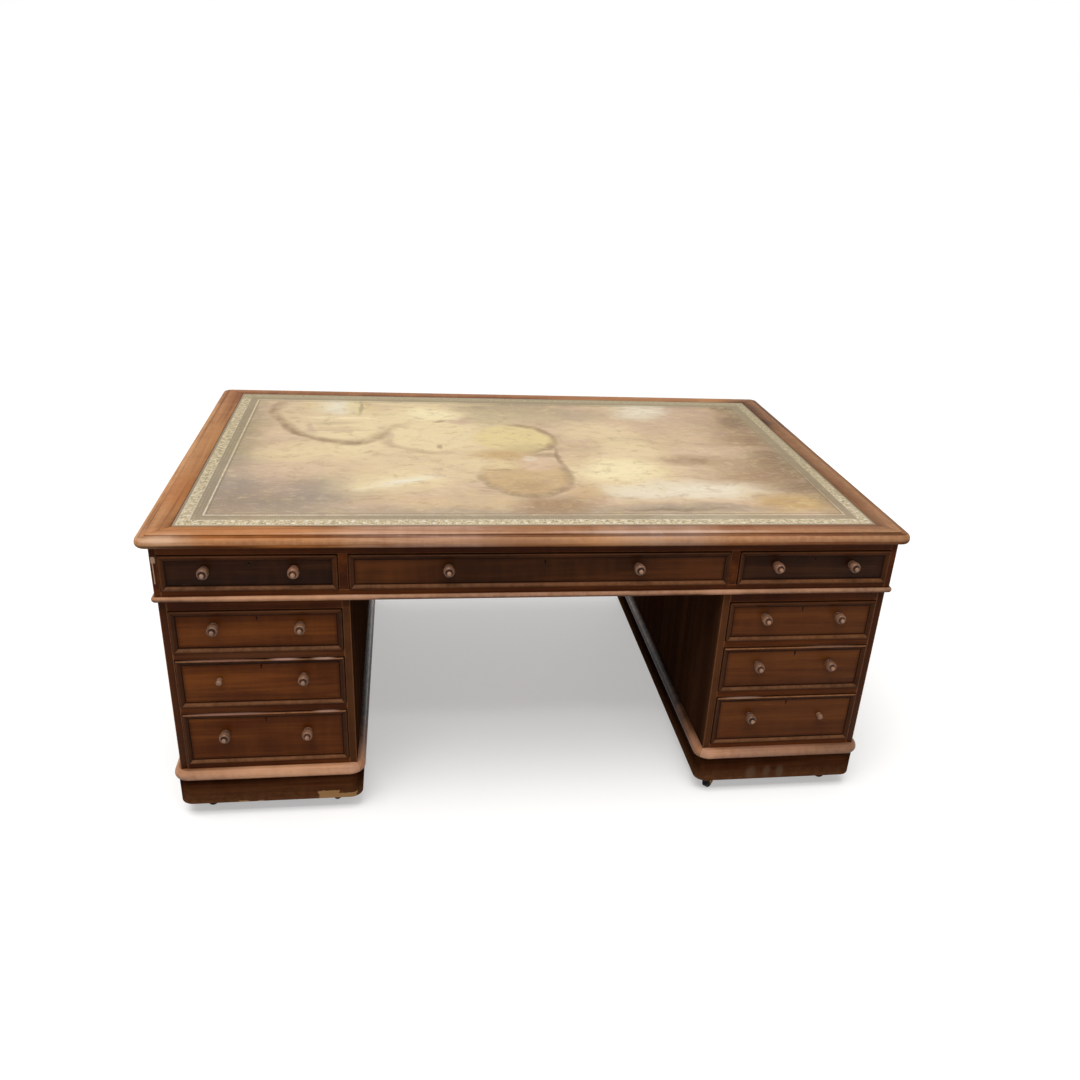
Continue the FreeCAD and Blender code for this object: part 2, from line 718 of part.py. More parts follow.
# ---------------------------------------------------------------------------
# Cupboard doors. The one behind the right pedestal is made, hinged on its outer side.
# ---------------------------------------------------------------------------
def make_doors():
    face = pedestal_half_depth
    inner = face - door_thickness
    low = bottom_rail_top + front_gap
    high = opening_top - front_gap
    free = inside_left + front_gap
    hung = inside_right - door_gap
    stiles = [box(free, free + door_rail_width, inner, face, low, high),
              box(hung - door_rail_width, hung, inner, face, low, high)]
    rails = [box(free + door_rail_width, hung - door_rail_width, inner, face, low,
                 low + door_rail_width),
             box(free + door_rail_width, hung - door_rail_width, inner, face,
                 high - door_rail_width, high)]
    reach = door_rail_width - door_panel_tongue
    panel_far = face - door_thickness / 2
    panel = box(free + reach, hung - reach, panel_far - door_panel_thickness, panel_far,
                low + reach, high - reach)
    frame = [piece.cut(panel) for piece in stiles + rails]
    opening_left = free + door_rail_width - strip_width
    opening_right = hung - door_rail_width + strip_width
    strips = turned_back(moulding_frame(-opening_right, -opening_left,
                                        low + door_rail_width - strip_width,
                                        high - door_rail_width + strip_width, -face))
    knob_x = free + door_knob_inset
    knob_z = (low + high) / 2
    knob = turned_back([placed(KNOB, -knob_x, -face, knob_z)])[0]
    hole = cylinder_y(knob_tenon_radius, knob_x, face - knob_tenon_length, face, knob_z)
    lock_hole = turned_back([keyhole(-knob_x, -face, knob_z + 2 * pedestal_key_drop,
                                     door_thickness + OVERCUT)])[0]
    frame[0] = frame[0].cut(hole).cut(lock_hole)
    door = frame + [panel] + strips + [knob]

    pin_x = (inside_right + hung) / 2
    pin_y = face + hinge_pin_standoff
    leaf_near = face - hinge_leaf_depth
    fixed_leaves = []
    moving_leaves = []
    third = hinge_length / 3
    for bottom in (low + hinge_end_distance, high - hinge_end_distance - hinge_length):
        top = bottom + hinge_length
        fixed = box(inside_right - hinge_leaf_thickness, inside_right, leaf_near, pin_y,
                    bottom, top)
        moving = box(hung, hung + hinge_leaf_thickness, leaf_near, pin_y, bottom, top)
        middle_room = cylinder_z(hinge_knuckle_radius + hinge_knuckle_gap, pin_x, pin_y,
                                 bottom + third - hinge_knuckle_gap,
                                 top - third + hinge_knuckle_gap)
        end_rooms = [cylinder_z(hinge_knuckle_radius + hinge_knuckle_gap, pin_x, pin_y,
                                bottom - OVERCUT, bottom + third),
                     cylinder_z(hinge_knuckle_radius + hinge_knuckle_gap, pin_x, pin_y,
                                top - third, top + OVERCUT)]
        fixed = fixed.cut(middle_room)
        fixed = fixed.fuse([cylinder_z(hinge_knuckle_radius, pin_x, pin_y,
                                       bottom, bottom + third - hinge_knuckle_gap),
                            cylinder_z(hinge_knuckle_radius, pin_x, pin_y,
                                       top - third + hinge_knuckle_gap, top),
                            cylinder_z(hinge_pin_radius, pin_x, pin_y, bottom, top)])
        for room in end_rooms:
            moving = moving.cut(room)
        moving = moving.fuse(cylinder_z(hinge_knuckle_radius, pin_x, pin_y,
                                        bottom + third, top - third))
        moving = moving.cut(cylinder_z(hinge_pin_radius + pin_fit, pin_x, pin_y, bottom, top))
        fixed_leaves.append(fixed.removeSplitter())
        moving_leaves.append(moving.removeSplitter())
    write_node("right_door", door)
    write_node("left_door", mirrored(door))
    write_node("right_door_hinges", moving_leaves)
    write_node("left_door_hinges", mirrored(moving_leaves))
    write_node("door_frame_hinges", fixed_leaves + mirrored(fixed_leaves))


# ---------------------------------------------------------------------------
# Castors. Each is made at the origin with its wheel trailing towards +X.
# ---------------------------------------------------------------------------
def castor_plate():
    """Fixing plate with the pivot that the fork turns on."""
    half = plate_size / 2
    plate_low = castor_height - plate_thickness
    cap_low = plate_low - running_gap - fork_cap_thickness
    plate = box(-half, half, -half, half, plate_low, castor_height)
    pivot = cylinder_z(pivot_radius, 0, 0, cap_low - running_gap - pivot_head_length, plate_low)
    head = cylinder_z(pivot_head_radius, 0, 0, cap_low - running_gap - pivot_head_length,
                      cap_low - running_gap)
    return plate.fuse([pivot, head]).removeSplitter()


def castor_fork():
    """Swivelling horn: a cap, two legs and the axle."""
    cap_high = castor_height - plate_thickness - running_gap
    cap_low = cap_high - fork_cap_thickness
    near = wheel_width / 2 + fork_clearance
    far = near + fork_leg_thickness
    leg_half = axle_radius + fork_foot_wall
    solid = cylinder_z(fork_cap_radius, 0, 0, cap_low, cap_high)
    solid = solid.cut(cylinder_z(pivot_radius + pin_fit, 0, 0, cap_low, cap_high))
    shoulder = fork_cap_radius / 2
    foot_low = wheel_radius - leg_half
    cap_mid = cap_low + fork_cap_thickness / 2
    for start in (near, -far):
        leg = prism([vec(-shoulder, start, cap_mid), vec(shoulder, start, cap_mid),
                     vec(castor_trail + leg_half, start, wheel_radius + leg_half),
                     vec(castor_trail + leg_half, start, foot_low + fork_foot_bevel),
                     vec(castor_trail + leg_half - fork_foot_bevel, start, foot_low),
                     vec(castor_trail - leg_half + fork_foot_bevel, start, foot_low),
                     vec(castor_trail - leg_half, start, foot_low + fork_foot_bevel)],
                    vec(0, fork_leg_thickness, 0))
        solid = solid.fuse(leg)
    axle = cylinder_y(axle_radius, castor_trail, -far - axle_end, far + axle_end, wheel_radius)
    return solid.fuse(axle).removeSplitter()


def castor_wheel():
    wheel = cylinder_y(wheel_radius, castor_trail, -wheel_width / 2, wheel_width / 2, wheel_radius)
    rims = [edge for edge in wheel.Edges if len(edge.Vertexes) == 1]
    wheel = wheel.makeFillet(wheel_edge, rims)
    bore = cylinder_y(axle_radius + pin_fit, castor_trail, -wheel_width, wheel_width, wheel_radius)
    return wheel.cut(bore)


def castor_places():
    """Swivel axes as (name, x, y, heading). Each wheel trails towards its plinth's corner, or
    away from it where the castor has turned under the plinth."""
    places = []
    for side, sign in (("left", -1), ("right", 1)):
        for depth, sign_y in (("front", -1), ("back", 1)):
            y = sign_y * (plinth_half_depth - castor_inset_y)
            for edge, x, outwards in (("outer", plinth_outer_side - castor_inset_x, sign),
                                      ("inner", plinth_inner_side + castor_inset_x, -sign)):
                corner = side + "_" + depth + "_" + edge
                turn = sign_y * (90 - outwards * (90 - castor_splay))
                if corner in castors_turned_under:
                    turn += 180
                places.append((corner + "_castor", sign * x, y, turn))
    return places


def make_castors():
    plates = []
    for name, x, y, heading in castor_places():
        plates.append(placed(castor_plate(), x, y, 0))
        for piece, solid in (("fork", castor_fork()), ("wheel", castor_wheel())):
            solid.rotate(vec(0, 0, 0), vec(0, 0, 1), heading)
            solid.translate(vec(x, y, 0))
            write_node(name + "_" + piece, [solid])
    write_node("castor_plates", plates)


os.makedirs("parts", exist_ok=True)
make_top()
make_frieze()
make_pedestals()
make_drawers()
make_doors()
make_castors()
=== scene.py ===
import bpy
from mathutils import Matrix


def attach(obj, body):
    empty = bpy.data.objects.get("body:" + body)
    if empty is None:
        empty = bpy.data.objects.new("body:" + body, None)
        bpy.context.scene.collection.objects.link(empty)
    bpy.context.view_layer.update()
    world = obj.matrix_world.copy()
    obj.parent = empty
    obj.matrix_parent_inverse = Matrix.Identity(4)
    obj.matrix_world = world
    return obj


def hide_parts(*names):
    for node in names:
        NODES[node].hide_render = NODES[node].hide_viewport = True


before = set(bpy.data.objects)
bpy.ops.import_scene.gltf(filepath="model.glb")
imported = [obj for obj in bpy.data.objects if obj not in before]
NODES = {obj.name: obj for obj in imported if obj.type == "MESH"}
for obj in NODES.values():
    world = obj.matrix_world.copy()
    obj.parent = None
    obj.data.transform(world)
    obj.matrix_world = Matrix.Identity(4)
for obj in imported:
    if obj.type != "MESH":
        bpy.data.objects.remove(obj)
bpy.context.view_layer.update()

from functools import reduce
import math

import bmesh
import bpy
from mathutils import Matrix, Vector

# --- Sizes in metres ---
TOP_X = 0.915
TOP_Y = 0.635
TOP_Z = 0.778
TOP_LOW = 0.751
RIM = 0.07
NOSE_RADIUS = 0.028
LEATHER_Z = 0.7778
LEATHER_LOW = 0.7766

CASE_Y = 0.615
CASE_LOW = 0.614
CASE_INNER_X = 0.872
BAY_INNER_X = 0.457
BAY_OUTER_X = 0.479
FRIEZE_DRAWER_LOW = 0.64
FRIEZE_DRAWER_HIGH = 0.73
FRIEZE_KNOB_RISE = 0.007
FRIEZE_KEY_DROP = 0.022
FRIEZE_END_KNOBS = 0.098
FRIEZE_CENTRE_KNOBS = 0.227

BEAD_X = 0.895
BEAD_Y = 0.623
BEAD_RADIUS = 0.01

PEDESTAL_X = 0.671
PEDESTAL_Y = 0.603
INSIDE_NEAR = 0.475
INSIDE_FAR = 0.867
DRAWER_ROWS = {"top": (0.473, 0.585), "middle": (0.323, 0.455), "bottom": (0.158, 0.305)}
DRAWER_KNOBS = 0.098
DRAWER_KNOB_RISE = 0.013
DRAWER_KEY_DROP = 0.02
LOST_KNOBS = {("left", "middle"): -1, ("right", "bottom"): 1}

PLINTH_HALF_X = 0.225
PLINTH_HALF_Y = 0.614
PLINTH_LOW = 0.042
PLINTH_HIGH = 0.116
PLINTH_THICKNESS = 0.018
PLINTH_RADIUS = 0.032
MOULDING_LIP = 0.009
MOULDING_HIGH = 0.144
MOULDING_DEPTH = 0.02

FRONT_THICKNESS = 0.02
GAP_SIDE = 0.001
GAP_LOW = 0.0004
GAP_HIGH = 0.0012
STRIP = 0.014
KEY_RADIUS = 0.0026
KEY_SLOT = 0.0024
KEY_LENGTH = 0.009

MITRE_GAP = 0.00012
BOARD_BEVEL = 0.0007

# Half size of the board that a point without one reports, so that no edge is near it.
FAR_AWAY = 9.0
# Front marks, painted light and shade among them, and chips show only in front of this.
FRONT_Y = -0.55
# Larger faces, in square metres, are shaded flat unless they belong to a swept moulding.
FLAT_AREA = 2e-4
SHARP_ANGLE = math.radians(40)

# The order of a point's coordinates with the one along the grain first.
ALONG = {"x": (0, 1, 2), "y": (1, 0, 2), "z": (2, 0, 1)}


# --- Mesh building ---
def new_object(name, data):
    made = bpy.data.objects.new(name, data)
    bpy.context.scene.collection.objects.link(made)
    return made


def extent(points):
    """The lowest and the highest corner of a box round some points."""
    return [Vector([end(p[i] for p in points) for i in range(3)]) for end in (min, max)]


class Piece:
    """Points and faces of one piece, with what its shader reads at each point:
    grain (place in the timber, along the grain first), local and half (place in its board and
    the board's half size, for the distance to an edge) and wear_and_light (1 pale, by use and
    painted light; -1 dark, by grime and painted shade)."""

    def __init__(self):
        self.points, self.faces, self.wear_and_light = [], [], []
        self.grain, self.local, self.half = [], [], []
        self.count = 0

    def add(self, points, faces, axis, wear_and_light=None, board=False):
        """Add a part. Its place in the timber differs from part to part."""
        base = len(self.points)
        self.count += 1
        turn = self.count * 2.399 + base * 0.013
        shift = Vector((7 * math.sin(turn), 5 * math.cos(1.7 * turn), 3 * math.sin(0.6 * turn)))
        points = [Vector(p) for p in points]
        self.points += points
        self.faces += [[base + index for index in face] for face in faces]
        self.grain += [Vector([p[i] for i in ALONG[axis]]) + shift for p in points]
        self.wear_and_light += list(wear_and_light) if wear_and_light else [0.0] * len(points)
        if board:
            low, high = extent(points)
            self.local += [p - (low + high) / 2 for p in points]
            self.half += [(high - low) / 2] * len(points)
        else:
            self.local += [Vector()] * len(points)
            self.half += [Vector([FAR_AWAY] * 3)] * len(points)

    def make(self, name, body, material, replaces=(), swept=False):
        mesh = bpy.data.meshes.new(name)
        mesh.from_pydata([tuple(p) for p in self.points], [], self.faces)
        work = bmesh.new()
        work.from_mesh(mesh)
        bmesh.ops.recalc_face_normals(work, faces=work.faces)
        work.to_mesh(mesh)
        work.free()
        for key in ("grain", "local", "half"):
            layer = mesh.attributes.new(key, "FLOAT_VECTOR", "POINT")
            layer.data.foreach_set("vector", [n for value in getattr(self, key) for n in value])
        layer = mesh.attributes.new("wear_and_light", "FLOAT", "POINT")
        layer.data.foreach_set("value", self.wear_and_light)
        smooth = [swept or polygon.area <= FLAT_AREA for polygon in mesh.polygons]
        mesh.polygons.foreach_set("use_smooth", smooth)
        mesh.set_sharp_from_angle(angle=SHARP_ANGLE)
        mesh.materials.append(material)
        piece = new_object(name, mesh)
        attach(piece, body)
        if replaces:
            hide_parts(*replaces)


def outline(steps, segments=8):
    """Points of an outline. A step of four numbers is a quarter ellipse round a corner."""
    points = []
    for step in steps:
        if len(step) == 2:
            points.append(step)
            continue
        start, corner, end = points[-1], step[:2], step[2:]
        centre = [start[i] + end[i] - corner[i] for i in range(2)]
        for number in range(1, segments + 1):
            turn = math.pi / 2 * number / segments
            points.append(
                tuple(c + (a - c) * math.cos(turn) + (b - c) * math.sin(turn)
                    for a, b, c in zip(start, end, centre)))
    return points


def loft(rows):
    """Points and faces of a skin over closed rows of equal length, with its ends capped."""
    count = len(rows[0])
    points = [p for row in rows for p in row]
    faces = []
    for first in range(0, len(points) - count, count):
        for number in range(count):
            here, there = first + number, first + (number + 1) % count
            faces.append((here, there, there + count, here + count))
    ends = [tuple(range(count)), tuple(range(len(points) - count, len(points)))]
    return points, faces + ends


def moulded_ring(piece, profile, wear_and_light_at, half_x, half_y, radius, middle_x=0.0):
    """Four mitred boards of one moulded outline of (out, height), round a rectangle. They are
    numbered from the front one, counterclockwise."""
    mitre = 45
    turns = [mitre, 44.4, 39, 33, 27, 21, 15, 9, 4, 0]
    stations = [(-1, turn) for turn in turns] + [(1, turn) for turn in reversed(turns)]
    for number in range(4):
        across, deep = (half_x, half_y) if number % 2 == 0 else (half_y, half_x)
        rows = []
        wear_and_light = []
        for sign, turn in stations:
            angle = math.radians(turn)
            row = []
            for out, z in profile:
                reach = radius + out
                if reach > 0:
                    x = across - radius + reach * math.sin(angle)
                    y = radius - deep - reach * math.cos(angle)
                else:
                    x = across - radius + reach * (0.96 + 0.04 * math.tan(angle))
                    y = radius - deep - reach
                if turn == mitre:
                    x -= MITRE_GAP
                row.append(Vector((sign * x, y, z)))
                wear_and_light.append(wear_and_light_at(out, z, number) - (0.8 if turn == mitre else 0.0))
            rows.append(row)
        spin = Matrix.Rotation(math.radians(90 * number), 3, "Z")
        points, faces = loft(rows)
        points = [spin @ p + Vector((middle_x, 0, 0)) for p in points]
        piece.add(points, faces, "xy"[number % 2], wear_and_light)


def turned(piece, steps, x, face, z, facing, wear_and_light_at, segments=40):
    """A turned piece on an axis along Y, from an outline of (radius, distance out)."""
    points, faces, wear_and_light, rings = [], [], [], []
    for radius, out in outline(steps, 6):
        count = segments if radius > 1e-6 else 1
        rings.append([len(points) + number for number in range(count)])
        wear_and_light += [wear_and_light_at(radius, out)] * count
        for number in range(count):
            turn = 2 * math.pi * number / segments
            points.append(
                (x + radius * math.cos(turn), facing * (face + out), z + radius * math.sin(turn)))
    for low, high in zip(rings, rings[1:]):
        for number in range(segments):
            after = (number + 1) % segments
            places = ((low, number), (high, number), (high, after), (low, after))
            corners = [ring[place % len(ring)] for ring, place in places]
            faces.append(tuple(dict.fromkeys(corners)))
    piece.add(points, faces, "y", wear_and_light)


def normal_of(corners):
    """Normal of a polygon by the sum of its fans."""
    start = Vector(corners[0])
    total = Vector()
    for here, there in zip(corners[1:], corners[2:]):
        total += (Vector(here) - start).cross(Vector(there) - start)
    return total.normalized()


def turn_between(here, there, normal, other_normal):
    """Angle through the solid, from a face along an edge to another face on that edge."""
    along_edge = (Vector(there) - Vector(here)).normalized()
    inward = normal.cross(along_edge)
    other = other_normal.cross(-along_edge)
    angle = math.atan2(-other.dot(normal), other.dot(inward))
    return angle if angle > 0.01 else angle + 2 * math.pi


def solids_of(node):
    """The separate solids of a CAD node, each as a list of polygons of points. Where solids
    touch, each face is joined to the face that the solid's own inside leads to."""
    mesh = NODES[node].data
    key = [tuple(round(number, 6) for number in vertex.co) for vertex in mesh.vertices]
    polygons = [[key[index] for index in polygon.vertices] for polygon in mesh.polygons]
    polygons = [corners for corners in polygons if len(set(corners)) == len(corners)]
    normals = [normal_of(corners) for corners in polygons]
    group = list(range(len(polygons)))

    def root(index):
        while group[index] != index:
            group[index] = group[group[index]]
            index = group[index]
        return index

    edges = {}
    for index, corners in enumerate(polygons):
        for edge in zip(corners, corners[1:] + corners[:1]):
            edges.setdefault(edge, []).append(index)
    for (here, there), indices in edges.items():
        facing = edges.get((there, here))
        for index in indices if facing else ():
            turns = [turn_between(here, there, normals[index], normals[other]) for other in facing]
            group[root(index)] = root(facing[turns.index(min(turns))])
    solids = {}
    for index, corners in enumerate(polygons):
        solids.setdefault(root(index), []).append(corners)
    return list(solids.values())


def corners_of(solid):
    return [corner for polygon in solid for corner in polygon]


def size_of(solid):
    corners = corners_of(solid)
    return [max(c[i] for c in corners) - min(c[i] for c in corners) for i in range(3)]


def board_mesh(solid):
    """A CAD board as one closed mesh."""
    work = bmesh.new()
    made = {}
    for polygon in solid:
        for corner in polygon:
            if corner not in made:
                made[corner] = work.verts.new(corner)
        try:
            work.faces.new([made[corner] for corner in polygon])
        except ValueError:
            pass
    bmesh.ops.recalc_face_normals(work, faces=work.faces)
    return work


def is_sound(work):
    """Whether a mesh is closed and none of its faces is warped."""
    if any(len(edge.link_faces) != 2 for edge in work.edges):
        return False
    for face in work.faces:
        middle = face.calc_center_median()
        if len(face.verts) > 3 and any(
                abs((vertex.co - middle).dot(face.normal)) > 6e-5 for vertex in face.verts):
            return False
    return True


def eased_board(solid, bevel):
    """A CAD board with its flat faces joined up and its arrises eased: all of them, or the
    longer ones where details leave no room, or none."""
    for share, shortest in ((1, 0.006), (0.6, 0.012), (0.6, 0.03), (0.5, 0.1)):
        work = board_mesh(solid)
        volume = work.calc_volume()
        bmesh.ops.dissolve_limit(
            work, angle_limit=math.radians(0.6), verts=work.verts, edges=work.edges,
            use_dissolve_boundaries=False, delimit=set())
        if is_sound(work):
            sharp = [
                edge for edge in work.edges if edge.is_convex and edge.calc_face_angle(0) > 0.6
                and edge.calc_length() > shortest]
            bmesh.ops.bevel(
                work, geom=sharp, offset=bevel * share, segments=2, profile=0.5, affect="EDGES",
                clamp_overlap=False)
            bmesh.ops.recalc_face_normals(work, faces=work.faces)
            if is_sound(work) and 0.97 < work.calc_volume() / volume <= 1.0001:
                return work
        work.free()
    return board_mesh(solid)


def add_board(piece, solid, axis=None):
    """A CAD board with its arrises eased, its grain along its longest side by default."""
    size = size_of(solid)
    work = eased_board(solid, BOARD_BEVEL)
    work.verts.index_update()
    points = [vertex.co.copy() for vertex in work.verts]
    faces = [[vertex.index for vertex in face.verts] for face in work.faces]
    work.free()
    piece.add(points, faces, axis or "xyz"[size.index(max(size))], board=True)


def boards(name, node, body, material):
    """The boards of a CAD node, dressed."""
    piece = Piece()
    for solid in solids_of(node):
        add_board(piece, solid)
    piece.make(name, body, material, [node])


# --- Shader building ---
def colour(red, green, blue):
    """A display colour of 0 to 255 as the linear colour that a shader takes."""
    def linear(value):
        value /= 255
        return value / 12.92 if value <= 0.04045 else ((value + 0.055) / 1.055) ** 2.4
    return (linear(red), linear(green), linear(blue), 1.0)


def dimmed(tint, share):
    """A display colour in less light, as a linear colour."""
    return (*[value * share for value in colour(*tint)[:3]], 1.0)


class Nodes:
    """A tree of shader nodes. A value is a socket, a number or a tuple. Where a node takes a
    colour, three numbers are a display colour and four are a linear one."""

    def __init__(self, tree):
        self.tree = tree
        tree.nodes.clear()

    def put(self, socket, value):
        if isinstance(value, bpy.types.NodeSocket):
            self.tree.links.new(value, socket)
        elif socket.type == "RGBA" and len(value) == 3:
            socket.default_value = colour(*value)
        else:
            socket.default_value = value

    def node(self, kind, inputs=(), **settings):
        """A new node, its inputs set by their places or by their names."""
        node = self.tree.nodes.new("ShaderNode" + kind)
        for key, value in settings.items():
            setattr(node, key, value)
        for key, value in inputs.items() if isinstance(inputs, dict) else enumerate(inputs):
            self.put(node.inputs[key], value)
        return node

    def output(self, *node, key=0, **settings):
        return self.node(*node, **settings).outputs[key]

    def math(self, operation, first, second=0.0, clamp=False):
        return self.output("Math", (first, second), operation=operation, use_clamp=clamp)

    def chain(self, operation, values):
        return reduce(lambda first, second: self.math(operation, first, second), values)

    def times(self, *values):
        return self.chain("MULTIPLY", values)

    def plus(self, *values):
        return self.chain("ADD", values)

    def either(self, *values):
        return self.chain("MAXIMUM", values)

    def minus(self, first, second):
        return self.math("SUBTRACT", first, second)

    def abs(self, value):
        return self.math("ABSOLUTE", value)

    def vector(self, operation, first, second=(0, 0, 0)):
        return self.output(
            "VectorMath", {0: first, "Scale" if operation == "SCALE" else 1: second},
            key=1 if operation in ("LENGTH", "DOT_PRODUCT") else 0, operation=operation)

    def moved(self, place, offset, share):
        return self.vector("ADD", place, self.vector("SCALE", offset, share))

    def attribute(self, name, key="Vector"):
        return self.output("Attribute", key=key, attribute_name=name)

    def place(self):
        return self.output("TexCoord", key="Object")

    def split(self, vector):
        return self.node("SeparateXYZ", (vector,)).outputs

    def join(self, x, y, z=0.0):
        return self.output("CombineXYZ", (x, y, z))

    def noise(self, vector, stretch, detail, rough, key=0):
        stretched = self.vector("MULTIPLY", vector, stretch)
        return self.output(
            "TexNoise", {"Vector": stretched, "Scale": 1.0, "Detail": detail, "Roughness": rough},
            key=key)

    def drift(self, vector, stretch, detail, rough):
        """Noise as an offset to all sides."""
        middle = (0.5, 0.5, 0.5)
        return self.vector("SUBTRACT", self.noise(vector, stretch, detail, rough, 1), middle)

    def steps(self, value, low, high, to_low=0.0, to_high=1.0):
        """A smooth step from low to high. low may be above high."""
        if low > high:
            low, high, to_low, to_high = high, low, to_high, to_low
        return self.output(
            "MapRange", (value, low, high, to_low, to_high), interpolation_type="SMOOTHSTEP")

    def mix(self, share, first, second, blend="MIX"):
        """A mix of two colours, by a Mix node's sockets for colours."""
        return self.output(
            "Mix", {0: share, 6: first, 7: second}, key=2, data_type="RGBA", blend_type=blend)

    def lay(self, base, *layers):
        """Colours laid over a colour, each (mask, amount, colour)."""
        for mask, amount, tint in layers:
            base = self.mix(self.times(mask, amount), base, tint)
        return base

    def fade(self, base, *layers):
        """Colours faded in over a colour, each (value, from, to, amount, colour)."""
        for value, low, high, amount, tint in layers:
            base = self.mix(self.steps(value, low, high, 0.0, amount), base, tint)
        return base

    def seen(self):
        """1 where the camera, a mirror or glass looks."""
        rays = self.node("LightPath").outputs
        return self.either(
            *[rays["Is %s Ray" % kind] for kind in ("Camera", "Glossy", "Transmission")])


class Shader(Nodes):
    """A material made of nodes."""

    def __init__(self, name):
        self.material = bpy.data.materials.new(name)
        self.material.use_nodes = True
        super().__init__(self.material.node_tree)
        self.surface = self.node("BsdfPrincipled")
        self.end = self.node("OutputMaterial", {"Surface": self.surface.outputs[0]})

    def bump(self, height, distance, strength):
        bumped = self.output(
            "Bump", {"Strength": strength, "Distance": distance, "Height": height})
        self.put(self.surface.inputs["Normal"], bumped)

    def finish(self, base, roughness, specular, metallic=0.0):
        for key, value in (
                ("Base Color", base), ("Roughness", roughness), ("Specular IOR Level", specular),
                ("Metallic", metallic)):
            self.put(self.surface.inputs[key], value)
        return self.material


def edge_distance(s):
    """Distance to the nearest edge of the board."""
    inward = s.vector("SUBTRACT", s.attribute("half"), s.vector("ABSOLUTE", s.attribute("local")))
    x, y, z = s.split(inward)
    second = s.math("MINIMUM", s.math("MAXIMUM", x, y), z)
    return s.math("MAXIMUM", s.math("MINIMUM", x, y), second)


def wavy_grain(s, stretch, share):
    """Place in the timber, with the lines of the grain swaying sideways."""
    grain = s.attribute("grain")
    sway = s.vector("MULTIPLY", s.drift(grain, stretch, 2, 0.5), (0.0, share, share))
    return s.vector("ADD", grain, sway)


def front_only(s, y):
    """1 on the front of the desk."""
    return s.math("LESS_THAN", y, FRONT_Y)


def patches(s, spots, warp):
    """Ragged patches on the front, each (x, z, half width, half height) in millimetres."""
    x, y, z = s.split(s.place())
    ragged = s.noise(s.place(), (150, 150, 150), 2, 0.5)
    masks = []
    for spot_x, spot_z, half_x, half_z in spots:
        dx = s.math("DIVIDE", s.abs(s.minus(x, spot_x / 1000)), half_x / 1000)
        dz = s.math("DIVIDE", s.abs(s.minus(z, spot_z / 1000)), half_z / 1000)
        reach = s.plus(s.either(dx, dz), s.times(s.minus(ragged, 0.5), warp))
        masks.append(s.steps(reach, 1.04, 0.96))
    return s.times(s.either(*masks), front_only(s, y))


def oval(s, place, x, y, half_x, half_y, turn=0.0):
    """Place in an oval of a size in millimetres, with its edge at a distance of 1."""
    offset = s.vector("SUBTRACT", place, (x / 1000, y / 1000, 0))
    if turn:
        offset = s.output(
            "VectorRotate", {"Vector": offset, "Angle": -turn}, rotation_type="Z_AXIS")
    return s.vector("MULTIPLY", offset, (1000 / half_x, 1000 / half_y, 0))


def soft_spots(s, base, place, spots, mottle):
    """Soft ovals laid over a colour: (x, y, half x, half y, colour, amount) in millimetres,
    and for some the oval's turn in radians."""
    for x, y, half_x, half_y, tint, amount, *turn in spots:
        reach = s.vector("LENGTH", oval(s, place, x, y, half_x, half_y, *turn))
        base = s.lay(base, (s.times(s.steps(reach, 1.35, 0.35), mottle), amount, tint))
    return base


